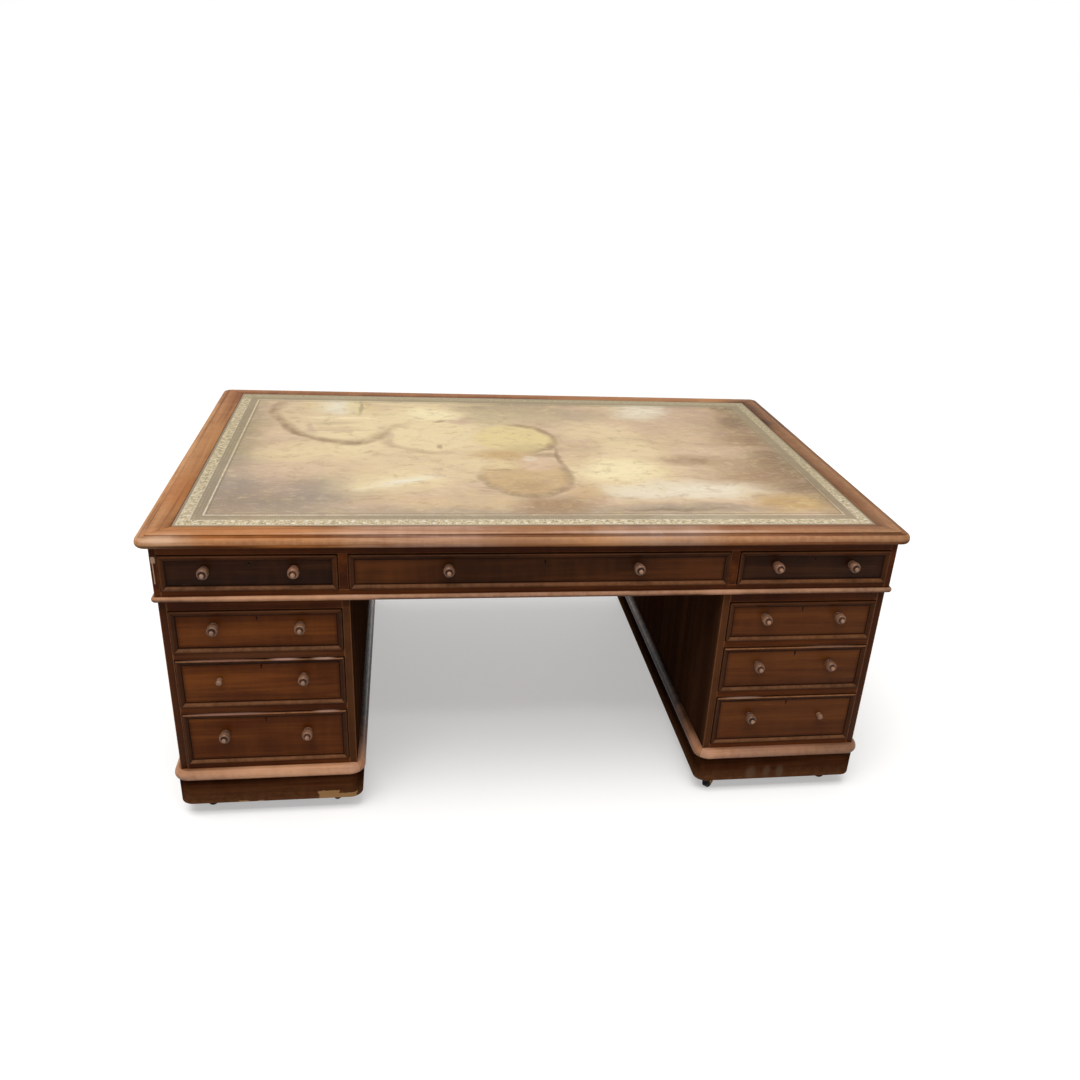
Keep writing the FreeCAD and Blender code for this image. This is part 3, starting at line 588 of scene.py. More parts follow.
def mahogany(
        name, dark, middle, light, worn_and_lit, rough=0.36, specular=0.15, seat=0.0, wear_and_light_amount=1.0,
        blotch=0.35, contrast=1.0, faded_and_top_lit=None, chips=(), chip_colour=None, front_marks_and_light=(), tints=(),
        flame=0.22, bands=0.3):
    """Polished mahogany. seat is the width of a planted moulding round a drawer front, along which
    the front is darker; faded_and_top_lit is the colour of what faces up, sun fading and painted
    top light; tints and front_marks_and_light are soft spots seen from above and from the front,
    some of them painted light and shade."""
    s = Shader(name)
    grain = wavy_grain(s, (1.1, 4, 4), 0.03)
    figure = s.noise(grain, (1.3, 22, 22), 4, 0.55)
    streak = s.noise(grain, (4, 190, 190), 4, 0.62)
    pores = s.steps(s.noise(grain, (75, 1500, 1500), 1, 0.5), 0.6, 0.72)
    ripple = s.noise(grain, (26, 5, 5), 2, 0.6)
    cloud = s.noise(s.place(), (4.5, 4.5, 4.5), 3, 0.6)
    fine = s.noise(s.place(), (60, 60, 60), 3, 0.65)
    stripe = s.noise(grain, (1.8, 75, 75), 4, 0.65)

    tone = s.plus(s.times(s.steps(figure, 0.3, 0.7), 0.5), s.times(streak, 0.5))
    base = s.mix(s.steps(tone, 0.25, 0.72, 0.5 - 0.5 * contrast, 1.0), dark, middle)
    base = s.fade(
        base, (tone, 0.48, 0.85, contrast, light), (ripple, 0.35, 0.75, flame, light),
        (cloud, 0.62, 0.3, blotch, dark))
    base = s.lay(base, (pores, 0.45, dark))
    # Faces that look up turn lighter: sun fading and painted top light.
    if faded_and_top_lit:
        upward = s.split(s.output("NewGeometry", key="Normal"))[2]
        open_side = s.times(s.steps(upward, -0.05, 0.42), s.steps(upward, 1.0, 0.8, 0.45, 1.0))
        base = s.lay(base, (open_side, s.steps(cloud, 0.25, 0.6, 0.6, 1.0), faded_and_top_lit))
    if tints:
        x, y, z = s.split(s.place())
        mottle = s.steps(s.plus(s.times(figure, 0.5), s.times(ripple, 0.5)), 0.36, 0.6, 0.62)
        base = soft_spots(s, base, s.join(x, y), tints, mottle)
    base = s.fade(base, (stripe, 0.5, 0.32, bands, dark), (stripe, 0.54, 0.7, bands * 0.6, light))

    # Positive point values pale the wood, by use and painted highlight; negative ones darken it,
    # by grime and painted shade.
    rubbed_and_lit = s.attribute("wear_and_light", "Fac")
    edge = edge_distance(s)
    near = s.steps(edge, 0.0028, 0.0003) if not seat else 0.0
    worn_and_lit_mask = s.math(
        "MULTIPLY", s.either(s.either(rubbed_and_lit, 0.0), near), s.steps(fine, 0.3, 0.7, 0.55),
        clamp=True)
    dirt_and_shade = s.either(s.times(rubbed_and_lit, -1.0), 0.0)
    # A darker band in the field along a planted moulding.
    if seat:
        dirt_and_shade = s.either(dirt_and_shade, s.times(s.steps(edge, seat + 0.01, seat - 0.001), 0.45))
    dirt_and_shade = s.times(dirt_and_shade, s.steps(fine, 0.15, 0.6, 0.55))
    scratches = s.steps(s.noise(s.place(), (9, 260, 260), 2, 0.7), 0.7, 0.78)
    base = s.lay(base, (worn_and_lit_mask, 0.62 * wear_and_light_amount, worn_and_lit))
    base = s.mix(s.math("MULTIPLY", dirt_and_shade, 0.85, clamp=True), base, dimmed(dark, 0.22))
    base = s.lay(base, (scratches, 0.25, worn_and_lit))

    roughness = s.plus(
        rough, s.times(s.minus(fine, 0.5), 0.22), s.times(worn_and_lit_mask, 0.12), s.times(dirt_and_shade, 0.25),
        s.times(pores, 0.1))
    height = s.plus(s.times(streak, 0.25), s.times(pores, -0.5), s.times(fine, 0.25))
    if chips:
        chip = patches(s, chips, 0.64)
        bare = s.mix(s.noise(grain, (9, 320, 320), 3, 0.6), chip_colour, dimmed(chip_colour, 0.55))
        base = s.mix(chip, base, bare)
        roughness = s.plus(roughness, s.times(chip, 0.35))
        height = s.plus(height, s.times(chip, -3.0))
    if front_marks_and_light:
        x, y, z = s.split(s.place())
        base = soft_spots(s, base, s.join(x, z), front_marks_and_light, front_only(s, y))
    s.bump(height, 0.0004, 0.55)
    return s.finish(base, s.math("ADD", roughness, 0.0, clamp=True), specular)


def inner_wood(name, dark, middle, light):
    """Oak and pine inside, unpolished, with dust and handling marks."""
    s = Shader(name)
    grain = wavy_grain(s, (1.5, 5, 5), 0.02)
    rings = s.noise(grain, (0.8, 30, 30), 3, 0.55)
    fibre = s.noise(grain, (7, 300, 300), 4, 0.65)
    pores = s.steps(s.noise(grain, (60, 900, 900), 1, 0.5), 0.58, 0.7)
    cloud = s.noise(s.place(), (6, 6, 6), 4, 0.65)
    tone = s.plus(s.times(s.steps(rings, 0.25, 0.75), 0.42), s.times(fibre, 0.58))
    near = s.times(s.steps(edge_distance(s), 0.004, 0.0), s.steps(cloud, 0.3, 0.6))
    base = s.mix(s.steps(tone, 0.22, 0.58), dark, middle)
    base = s.fade(base, (tone, 0.48, 0.82, 1.0, light))
    base = s.lay(base, (pores, 0.35, dark))
    base = s.fade(base, (cloud, 0.45, 0.75, 0.5, dark))
    base = s.lay(base, (near, 0.35, dark))
    s.bump(s.plus(s.times(fibre, 0.4), s.times(pores, -0.5)), 0.0004, 0.5)
    return s.finish(base, s.plus(0.62, s.times(fibre, 0.2)), 0.25)


def metal(name, clean, tarnish, rough, tarnish_share):
    """Old metal with a patina that is thicker in patches."""
    s = Shader(name)
    cloud = s.noise(s.place(), (70, 70, 70), 5, 0.65)
    fine = s.noise(s.place(), (700, 700, 700), 3, 0.6)
    scratch = s.steps(s.noise(s.place(), (40, 900, 120), 2, 0.6), 0.62, 0.72)
    patina = s.steps(cloud, tarnish_share + 0.12, tarnish_share - 0.12)
    base = s.lay(s.mix(patina, clean, tarnish), (scratch, 0.4, clean), (fine, 0.35, tarnish))
    s.bump(s.plus(s.times(fine, 0.6), s.times(patina, 0.4)), 0.0002, 0.5)
    return s.finish(base, s.plus(rough, s.times(patina, 0.25), s.times(fine, 0.1)), 0.5, 0.9)


def tide_mark(
        s, base, place, mottle, rim, x, y, half_x, half_y, turn, fill, fill_amount, rim_amount,
        towards, open_side):
    """A stain with a dark broken outline that is soft inside and open on one side. Its size
    is in millimetres."""
    inner = oval(s, place, x, y, half_x, half_y, turn)
    reach = s.vector("LENGTH", inner)
    base = s.lay(base, (s.times(s.steps(reach, 1.08, 0.8), mottle), fill_amount, fill))
    heading = (math.cos(towards), math.sin(towards), 0)
    side = s.steps(s.vector("DOT_PRODUCT", inner, heading), open_side, open_side + 0.8)
    broken = s.steps(s.noise(place, (13, 13, 1), 3, 0.65), 0.3, 0.56, 0.45)
    ring = s.times(s.steps(reach, 0.76, 0.985), s.steps(reach, 1.12, 0.995), side)
    return s.lay(base, (s.times(ring, broken, mottle), rim_amount, rim))


def tooled_leather(name, half_x, half_y):
    """Faded tan hide with tide marks, and a gilt border tooled along its edge."""
    s = Shader(name)
    x, y, z = s.split(s.place())
    flat = s.join(x, y)
    drift = s.drift(flat, (6, 6, 6), 3, 0.6)
    place = s.moved(flat, drift, 0.11)
    ragged = s.drift(flat, (26, 26, 1), 3, 0.6)
    steady = s.moved(s.moved(flat, drift, 0.05), ragged, 0.016)
    wide = s.noise(place, (2.6, 3.4, 1), 5, 0.62)
    streaky = s.noise(place, (3.4, 13, 1), 6, 0.68)
    mottled = s.noise(place, (19, 26, 1), 6, 0.72)
    blush = s.noise(place, (4.2, 7.5, 2), 4, 0.6)
    rub = s.noise(place, (26, 90, 1), 5, 0.75)
    warmth = s.noise(place, (11, 15, 3), 5, 0.7)
    softly = s.steps(s.plus(s.times(streaky, 0.45), s.times(mottled, 0.55)), 0.3, 0.56, 0.62, 1.12)

    tan = (204, 177, 140)
    pink = (212, 182, 152)
    rose = (190, 160, 138)
    cream = (232, 211, 166)
    chalk = (232, 222, 198)
    light = (242, 226, 182)
    yellow = (222, 200, 142)
    gold = (190, 156, 104)
    brown = (152, 120, 88)
    olive = (148, 132, 102)
    slate = (152, 136, 120)
    sand = (184, 166, 130)
    umber = (126, 102, 74)
    deep = (112, 88, 56)
    tide = (126, 98, 68)

    base = s.mix(s.steps(streaky, 0.3, 0.54), sand, tan)
    base = s.fade(
        base, (wide, 0.36, 0.6, 0.75, pink), (wide, 0.52, 0.76, 0.7, cream),
        (blush, 0.5, 0.34, 0.75, rose))
    spots = (
        (-300, -50, 360, 300, cream, 0.5), (-300, 240, 320, 240, cream, 0.75),
        (20, 535, 950, 50, olive, 0.6), (-810, 50, 90, 620, olive, 0.8),
        (820, 80, 130, 660, umber, 0.95), (720, 220, 130, 340, brown, 0.6, 0.1),
        (735, 340, 50, 90, umber, 0.7), (590, 360, 100, 150, rose, 0.35),
        (760, -220, 150, 240, umber, 0.6), (540, -70, 160, 60, brown, 0.6),
        (640, -190, 170, 100, brown, 0.65, 0.1), (620, 30, 180, 35, pink, 0.75, 0.05),
        (455, 140, 120, 120, tan, 0.8, 0.1), (440, 240, 120, 90, rose, 0.4, 0.1),
        (-640, -340, 240, 150, slate, 1.0), (-700, -270, 130, 120, rose, 0.6),
        (-780, -270, 120, 240, slate, 0.95), (700, 80, 130, 100, brown, 0.35),
        (-720, -430, 160, 100, umber, 0.35), (780, -20, 80, 400, umber, 0.25),
        (-600, -440, 220, 70, slate, 0.45), (-590, -150, 200, 90, pink, 0.6, 0.2),
        (-560, -20, 200, 90, cream, 0.45, 0.1), (-50, -490, 700, 45, slate, 0.6),
        (10, 440, 190, 90, olive, 0.6), (50, 360, 220, 120, sand, 0.6),
        (235, 390, 100, 80, slate, 0.35), (443, 420, 110, 90, chalk, 0.75, 0.5),
        (270, 200, 140, 110, cream, 0.6), (330, 30, 100, 100, cream, 0.6),
        (257, -175, 170, 140, cream, 1.0), (250, -160, 120, 90, light, 0.75),
        (440, -310, 200, 80, chalk, 0.75, 0.05), (260, -330, 120, 60, chalk, 0.5),
        (145, -345, 60, 60, gold, 0.55), (665, -408, 110, 75, gold, 0.85),
        (400, -445, 220, 35, slate, 0.75), (350, -462, 130, 14, deep, 0.5, 0.03),
        (-338, -265, 120, 34, chalk, 0.95, 0.4), (-370, -270, 170, 80, cream, 0.6, 0.2),
        (45, -430, 120, 70, brown, 0.85), (-250, -420, 200, 50, tan, 0.5),
        (-175, 300, 55, 50, rose, 0.85, 0.4), (-90, 330, 50, 100, sand, 0.6),
        (-257, 365, 110, 105, cream, 1.0), (-255, 362, 80, 70, light, 0.85),
        (-85, 455, 30, 30, olive, 0.35), (150, -60, 60, 120, tan, 0.5),
        (775, 500, 80, 70, umber, 0.75), (-300, 500, 240, 35, cream, 0.6),
        (460, 505, 100, 30, chalk, 0.5), (400, -520, 140, 22, chalk, 0.4))
    base = soft_spots(s, base, place, spots, softly)
    tide_marks = (
        (-555, 300, 150, 255, 0.42, cream, 0.25, 0.74, 3.75, -0.5),
        (-245, 125, 145, 150, 0.0, cream, 0.3, 0.3, 3.6, -0.35),
        (-6, -205, 124, 165, 0.0, gold, 0.62, 0.58, -1.25, -0.75),
        (-6, 118, 120, 142, 0.0, yellow, 0.8, 0.66, 0.15, -0.25))
    for mark in tide_marks:
        base = tide_mark(s, base, steady, softly, tide, *mark)
    spots = (
        (-535, 430, 75, 85, chalk, 0.9, 0.3), (-600, 440, 50, 60, yellow, 0.4, 0.3),
        (-478, 430, 50, 80, yellow, 0.6, 0.1), (-464, 430, 8, 85, olive, 0.6),
        (-530, 255, 80, 20, sand, 0.5), (-500, 310, 130, 18, light, 0.6),
        (-530, 205, 75, 16, tan, 0.6), (-500, 140, 110, 50, cream, 0.5),
        (-225, 278, 20, 12, deep, 0.55, 0.7), (-228, 36, 10, 22, deep, 0.5, 0.2),
        (-50, -35, 100, 55, gold, 0.75), (70, -40, 45, 22, deep, 0.45),
        (-70, -120, 55, 50, cream, 0.55), (-70, -162, 55, 7, brown, 0.5),
        (40, -110, 65, 65, pink, 0.9), (28, -70, 22, 26, chalk, 0.4),
        (0, -290, 60, 50, brown, 0.35), (30, 30, 90, 40, olive, 0.25),
        (108, -60, 10, 90, tide, 0.6, 0.05), (-370, 105, 12, 100, rose, 0.4, 0.1),
        (-530, 180, 130, 12, rose, 0.5), (-600, 200, 12, 70, rose, 0.5, 0.3),
        (-325, -262, 60, 14, chalk, 0.95, 0.42), (480, -300, 90, 16, chalk, 0.7, 0.1),
        (-200, 350, 50, 50, light, 0.6), (520, -75, 35, 30, brown, 0.6),
        (700, -70, 50, 30, brown, 0.5))
    base = soft_spots(s, base, steady, spots, softly)
    base = s.fade(
        base, (warmth, 0.52, 0.72, 0.3, (206, 178, 160)),
        (warmth, 0.48, 0.28, 0.3, (222, 200, 146)), (mottled, 0.5, 0.3, 0.42, brown),
        (mottled, 0.52, 0.74, 0.36, cream), (rub, 0.5, 0.74, 0.34, light),
        (rub, 0.48, 0.26, 0.4, rose))
    base = s.mix(1.0, base, (0.925, 0.925, 0.925, 1), "MULTIPLY")

    from_x = s.minus(half_x, s.abs(x))
    from_y = s.times(s.minus(half_y, s.abs(y)), 0.84)
    edge = s.math("MINIMUM", from_x, from_y)
    on_side = s.math("LESS_THAN", from_x, from_y)
    run = s.plus(s.times(on_side, y), s.times(s.minus(1.0, on_side), x))

    def line(at, width):
        return s.steps(s.abs(s.minus(edge, at)), width, width * 0.6)

    def band(low, high):
        soft = 0.0005
        return s.times(
            s.steps(edge, low - soft, low + soft), s.steps(edge, high + soft, high - soft))

    def rosette(offset, at, size, petals):
        dy = s.minus(edge, at)
        reach = s.math("SQRT", s.plus(s.times(offset, offset), s.times(dy, dy)))
        turn = s.math("ARCTAN2", dy, offset)
        lobes = s.plus(1.0, s.times(s.math("COSINE", s.times(turn, petals)), 0.3))
        return s.steps(s.math("DIVIDE", reach, lobes), size, size * 0.7)

    crushed = s.noise(flat, (230, 230, 1), 4, 0.75)
    clumps = s.noise(flat, (105, 105, 1), 2, 0.7)
    lost = s.noise(flat, (34, 34, 1), 5, 0.75)
    pitch = 0.054
    phase = s.times(run, 2 * math.pi / pitch)
    vine = s.plus(0.02, s.times(s.math("SINE", phase), 0.006))
    stem = s.steps(s.abs(s.minus(edge, vine)), 0.0019, 0.001)
    to_bud = s.math("PINGPONG", s.plus(run, pitch * 0.25), pitch / 2)
    to_leaf = s.minus(to_bud, pitch / 2)
    to_dot = s.minus(s.math("PINGPONG", run, pitch / 8), pitch / 16)
    leaf = rosette(to_leaf, 0.0155, 0.0066, 5.0)
    bud = rosette(to_bud, 0.025, 0.0066, 5.0)
    dots = s.either(rosette(to_dot, 0.01, 0.002, 3.0), rosette(to_dot, 0.0304, 0.002, 3.0))
    dashes = s.times(
        s.steps(s.math("PINGPONG", run, 0.003), 0.0012, 0.002), s.steps(clumps, 0.4, 0.56),
        s.either(line(0.04, 0.0014), s.times(line(0.048, 0.0016), 0.7)))
    kept = s.times(s.steps(crushed, 0.34, 0.56, 0.25), s.steps(lost, 0.34, 0.56, 0.3))
    pattern = band(0.0075, 0.0325)
    dusty = s.times(pattern, s.steps(crushed, 0.28, 0.58, 0.45, 0.95))
    base = s.lay(
        base, (s.steps(edge, 0.0085, 0.0065), 0.7, (122, 106, 84)),
        (band(0.0335, 0.0545), 0.66, (132, 119, 94)), (line(0.0632, 0.0026), 0.55, (116, 100, 74)),
        (dusty, s.steps(lost, 0.3, 0.55, 0.6), (186, 168, 134)))
    tones = (
        (clumps, 0.5, 0.36, 0.75, (116, 100, 72)), (clumps, 0.52, 0.64, 0.6, (222, 211, 176)),
        (crushed, 0.5, 0.38, 0.35, (112, 98, 70)))
    for value, low, high, amount, tint in tones:
        base = s.lay(base, (s.times(pattern, s.steps(value, low, high)), amount, tint))
    ornament = s.times(s.either(s.times(stem, 0.55), leaf, bud, dots), pattern)
    gilt = s.either(
        s.times(ornament, 0.75), s.times(line(0.0332, 0.0009), 0.7),
        s.times(line(0.0076, 0.0009), 0.6), s.times(dashes, 0.6),
        s.times(line(0.058, 0.0021), s.steps(x, 0.0, -0.75, 0.4)))
    gilt = s.math("MULTIPLY", gilt, kept, clamp=True)
    dull = s.either(
        s.times(s.steps(y, half_y - 0.066, half_y - 0.05), 0.62),
        s.times(s.steps(x, half_x - 0.09, half_x - 0.06), s.steps(y, -0.45, 0.1), 0.42))
    gilt = s.times(gilt, s.minus(1.0, dull))
    frontal = s.steps(y, 0.4 - half_y, 0.04 - half_y)
    base = s.lay(base, (gilt, 0.78, s.mix(frontal, (222, 208, 170), (236, 228, 208))))
    base = s.mix(dull, base, (150, 136, 106))
    base = s.fade(base, (edge, 0.0022, 0.0004, 0.8, (52, 38, 26)))

    grain = s.vector("MULTIPLY", s.moved(flat, drift, 0.004), (620, 620, 1))
    pebble = s.output(
        "TexVoronoi", {"Vector": grain, "Scale": 1.0}, key="Distance", feature="DISTANCE_TO_EDGE")
    creases = s.noise(place, (40, 130, 1), 4, 0.7)
    height = s.plus(
        s.times(s.steps(pebble, 0.0, 0.25), 0.35), s.times(creases, 0.6), s.times(gilt, -0.9))
    s.bump(height, 0.0005, 0.5)
    return s.finish(base, s.plus(0.52, s.times(mottled, 0.18), s.times(gilt, -0.16)), 0.22)


# --- Materials ---
# The pinkish tints and the two thin pale lines along the front rim are a painted reflection, and
# the pale tint down the left thumb a painted highlight. Of the front marks, the dark one low on
# the left nose is painted shade and the pale one above it a painted highlight.
TOP_WOOD = mahogany(
    "mahogany_top", (98, 48, 18), (150, 94, 48), (186, 132, 84), (204, 156, 116), 0.42, 0.025,
    blotch=0.55, wear_and_light_amount=0.85, flame=0.45, bands=0.6,
    tints=((-880, -100, 100, 750, (166, 114, 68), 0.7), (-880, -330, 50, 130, (160, 92, 38), 0.8),
        (-870, 580, 100, 120, (128, 70, 36), 0.8), (0, 605, 900, 50, (136, 84, 50), 0.7),
        (880, 420, 120, 260, (48, 14, 0), 1.0), (880, -60, 90, 300, (106, 76, 50), 0.95),
        (860, -350, 110, 160, (98, 60, 34), 0.95), (840, -560, 200, 120, (110, 76, 54), 0.95),
        (-700, -610, 260, 50, (172, 106, 56), 0.9), (-840, -630, 60, 30, (196, 160, 130), 0.7),
        (-270, -600, 220, 70, (182, 146, 126), 0.85), (0, -600, 150, 70, (136, 92, 64), 0.85),
        (280, -600, 160, 70, (164, 134, 116), 0.85), (600, -600, 220, 70, (138, 92, 66), 0.8),
        (-906, -100, 12, 850, (204, 154, 110), 0.75), (270, -605, 280, 9, (206, 188, 182), 0.75),
        (-360, -606, 260, 8, (206, 172, 152), 0.6)),
    front_marks_and_light=((-780, 756.5, 170, 5.5, (62, 30, 13), 0.9), (-860, 770.5, 50, 5, (216, 180, 150), 0.6),
        (-100, 768, 140, 8, (132, 92, 66), 0.45)))
CASE_WOOD = mahogany(
    "mahogany_case", (52, 20, 5), (80, 38, 11), (104, 54, 21), (150, 96, 62), specular=0.05,
    contrast=0.7, wear_and_light_amount=0.6, chips=[(-880, 718, 4.5, 7.5), (-881.5, 690, 1.2, 29)],
    chip_colour=(190, 156, 132), front_marks_and_light=((-675, 464, 190, 12, (100, 60, 36), 0.6),
        (-780, 314, 90, 12, (88, 50, 28), 0.4)))
# The kneehole's sides: a darker, greyer copy of the mahogany, which paints the kneehole's shade.
# Lighter along the front edge.
SHADED_SIDE_WOOD = mahogany(
    "mahogany_sides_shaded", (46, 26, 16), (60, 37, 24), (72, 46, 29), (140, 92, 60), 0.55, 0.0,
    contrast=0.5, flame=0.1, bands=0.12, tints=((0, -620, 3000, 28, (92, 56, 34), 0.95),))
PANEL_WOOD = mahogany(
    "mahogany_panels", (60, 25, 8), (92, 46, 18), (122, 68, 32), (160, 106, 70), 0.36, 0.06,
    blotch=0.3, contrast=0.75, flame=0.34, tints=((0, -620, 3000, 28, (38, 15, 4), 1.0),))
DRAWER_WOOD = mahogany(
    "mahogany_drawers", (66, 28, 6), (98, 50, 16), (126, 70, 27), (160, 106, 70), 0.34, 0.06,
    seat=STRIP, blotch=0.3, contrast=0.62, tints=((700, -600, 340, 300, (80, 46, 24), 0.45),))
# Darker than the pedestal drawers: painted shade under the top's overhang.
SHADED_FRIEZE_CENTRE_WOOD = mahogany(
    "mahogany_frieze_centre_shaded", (42, 18, 3), (64, 32, 9), (96, 52, 22), (150, 98, 64), 0.34, 0.06,
    seat=STRIP, blotch=0.35, contrast=0.7, tints=((-420, -600, 160, 300, (94, 50, 20), 0.7),
        (420, -600, 160, 300, (88, 46, 20), 0.6)))
# Darker still at the ends: more painted shade under the overhang.
SHADED_FRIEZE_WOOD = mahogany(
    "mahogany_frieze_ends_shaded", (30, 12, 3), (46, 22, 8), (72, 40, 20), (130, 88, 62), 0.34, 0.06,
    seat=STRIP, blotch=0.35, contrast=0.6)
# Its front marks are painted highlights on the top arrises of the middle and bottom drawers.
STRIP_WOOD = mahogany(
    "mahogany_strips", (40, 17, 5), (66, 33, 12), (90, 49, 22), (182, 126, 86), 0.32, 0.05,
    contrast=0.7, wear_and_light_amount=0.9, front_marks_and_light=((-615, 452.5, 34, 3, (170, 132, 118), 0.8),
        (-525, 452.5, 26, 3, (170, 136, 120), 0.8), (-760, 452.5, 80, 3, (136, 96, 80), 0.6),
        (-760, 302.5, 90, 3, (140, 104, 92), 0.7), (-525, 302.5, 30, 3, (162, 126, 108), 0.8),
        (545, 302.5, 50, 3, (142, 114, 98), 0.75), (760, 452.5, 70, 3, (126, 96, 80), 0.5)))
# Its upward faces take the faded_and_top_lit colour. The near-black tints along the kneehole runs
# are painted shade, and the pale ones where those runs start at the front painted light.
TRIM_WOOD = mahogany(
    "mahogany_mouldings", (66, 29, 10), (98, 47, 18), (124, 66, 30), (212, 168, 138), 0.3, 0.08,
    contrast=0.7, faded_and_top_lit=(172, 116, 74), tints=((660, -600, 220, 500, (134, 92, 68), 0.7),
        (880, -500, 120, 500, (92, 54, 32), 0.9), (50, -620, 420, 50, (104, 62, 38), 0.75),
        (-620, -600, 180, 300, (198, 144, 106), 0.7), (447, 180, 40, 800, (30, 16, 9), 1.0),
        (447, -200, 40, 320, (30, 16, 9), 1.0), (-447, 180, 40, 800, (30, 16, 9), 1.0),
        (-447, -200, 40, 320, (30, 16, 9), 1.0), (447, -620, 50, 100, (178, 128, 98), 0.9),
        (-447, -620, 50, 100, (178, 128, 98), 0.9)),
    front_marks_and_light=((840, 130, 170, 35, (108, 74, 54), 0.5), (620, 130, 100, 35, (128, 92, 76), 0.35)))
KNOB_WOOD = mahogany(
    "mahogany_knobs", (52, 26, 13), (84, 48, 29), (118, 76, 50), (206, 160, 128), 0.2, 0.3,
    contrast=0.8)
# The near-black tints on the kneehole sides are painted shade.
PLINTH_WOOD = mahogany(
    "mahogany_plinth", (44, 20, 9), (69, 36, 18), (94, 56, 32), (140, 94, 62), 0.42, 0.0,
    blotch=0.4, contrast=0.6, wear_and_light_amount=0.7, tints=((447, 80, 30, 720, (24, 12, 6), 1.0),
        (-447, 80, 30, 720, (24, 12, 6), 1.0)), chips=[(-530, 52, 26, 14), (-486, 49, 26, 8),
        (-742, 43.5, 12, 3), (-700, 43, 7, 2.6)], chip_colour=(178, 134, 90),
    front_marks_and_light=((600, 60, 16, 24, (112, 92, 74), 0.36), (645, 66, 12, 20, (112, 92, 74), 0.3),
        (682, 62, 12, 22, (112, 92, 74), 0.36)))
INNER_WOOD = inner_wood("oak_inside", (116, 82, 50), (146, 109, 71), (166, 131, 90))
LEATHER = tooled_leather("tooled_leather", TOP_X - RIM, TOP_Y - RIM)
BRASS = metal("aged_brass", (176, 134, 72), (74, 54, 32), 0.36, 0.5)
OLD_BRASS = metal("dark_brass", (104, 78, 44), (34, 24, 16), 0.45, 0.62)
IRON = metal("dark_iron", (70, 64, 60), (26, 22, 20), 0.45, 0.55)


# --- Top ---
def make_top():
    inner = 0.0004 - RIM
    lip = -0.0231
    ledge = TOP_Z - 0.003
    foot = ledge - 0.0008
    ease = 0.0014
    profile = outline(
        [(inner, TOP_LOW), (inner, TOP_Z - 0.0008), (inner, TOP_Z, 0.0012 - RIM, TOP_Z),
            (lip - ease, TOP_Z), (lip, TOP_Z, lip, TOP_Z - ease), (lip, ledge), (-0.021, ledge),
            (-0.0195, ledge - 0.0001), (-0.013, ledge - 0.0005), (-0.009, foot),
            (0, foot, 0, 0.76), (0, TOP_LOW, -0.007, TOP_LOW)])

    # Pale on the top arris and the nose's front; dark in the quirk, on the front board's ledge and
    # under the nose, while the side boards' ledges are pale: partly use and grime, partly painted
    # highlight and shade.
    def wear_and_light(out, z, side):
        if out < -0.05:
            return 0.0
        if out < -0.0225:
            if z > TOP_Z - 0.0012 and out > -0.026:
                return 0.9
            return -0.5 if z < TOP_Z - 0.0016 and side == 0 else 0.0
        if out < -0.0205:
            return -1.0 if side == 0 else -0.25
        if out < -0.0125 and z > ledge - 0.001:
            return -0.42 if side == 0 else 0.3
        if z < TOP_LOW + 0.005:
            return -0.5
        return 0.8 if out > -0.008 and z > TOP_LOW + 0.01 else 0.0

    rim = Piece()
    moulded_ring(rim, profile, wear_and_light, TOP_X, TOP_Y, NOSE_RADIUS)
    rim.make("rim_boards", "carcass", TOP_WOOD, ["top_frame"], swept=True)
    make_leather()
    boards("ground_board", "top_panel", "carcass", INNER_WOOD)


def make_leather():
    """The leather, slightly uneven, with rounded edges."""
    rounded = 0.0006
    margin = 0.0013
    flat_x, flat_y = [size - RIM - 0.0001 - rounded for size in (TOP_X, TOP_Y)]
    columns, lines = 60, 40
    stride = columns + 1
    points = []
    faces = []
    for row in range(lines + 1):
        for column in range(stride):
            u = (column / columns * 2 - 1) * flat_x
            v = (row / lines * 2 - 1) * flat_y
            swell = 0.00012 * math.sin(9 * u + 2 * v) * math.sin(11 * v - 3 * u) - 0.00012
            points.append(Vector((u, v, LEATHER_Z + swell)))
            if row < lines and column < columns:
                here = row * stride + column
                faces.append((here, here + 1, here + stride + 1, here + stride))
    upper = (
        [row * stride for row in range(lines, -1, -1)] + list(range(1, stride))
        + [row * stride + columns for row in range(1, lines + 1)]
        + [lines * stride + column for column in range(columns - 1, 0, -1)])
    rim = upper
    for z in (LEATHER_Z - rounded, LEATHER_LOW):
        lower = [len(points) + number for number in range(len(rim))]
        for index in rim:
            p = points[index].copy()
            for axis, reach in ((0, flat_x), (1, flat_y)):
                if abs(p[axis]) > reach - margin:
                    p[axis] = math.copysign(reach + rounded, p[axis])
            p.z = z
            points.append(p)
        for number in range(len(rim)):
            after = (number + 1) % len(rim)
            faces.append((upper[number], upper[after], lower[after], lower[number]))
        upper = lower
    faces.append(tuple(upper))
    hide = Piece()
    hide.add(points, faces, "x")
    hide.make("leather_writing_surface", "carcass", LEATHER, ["leather_skiver"])


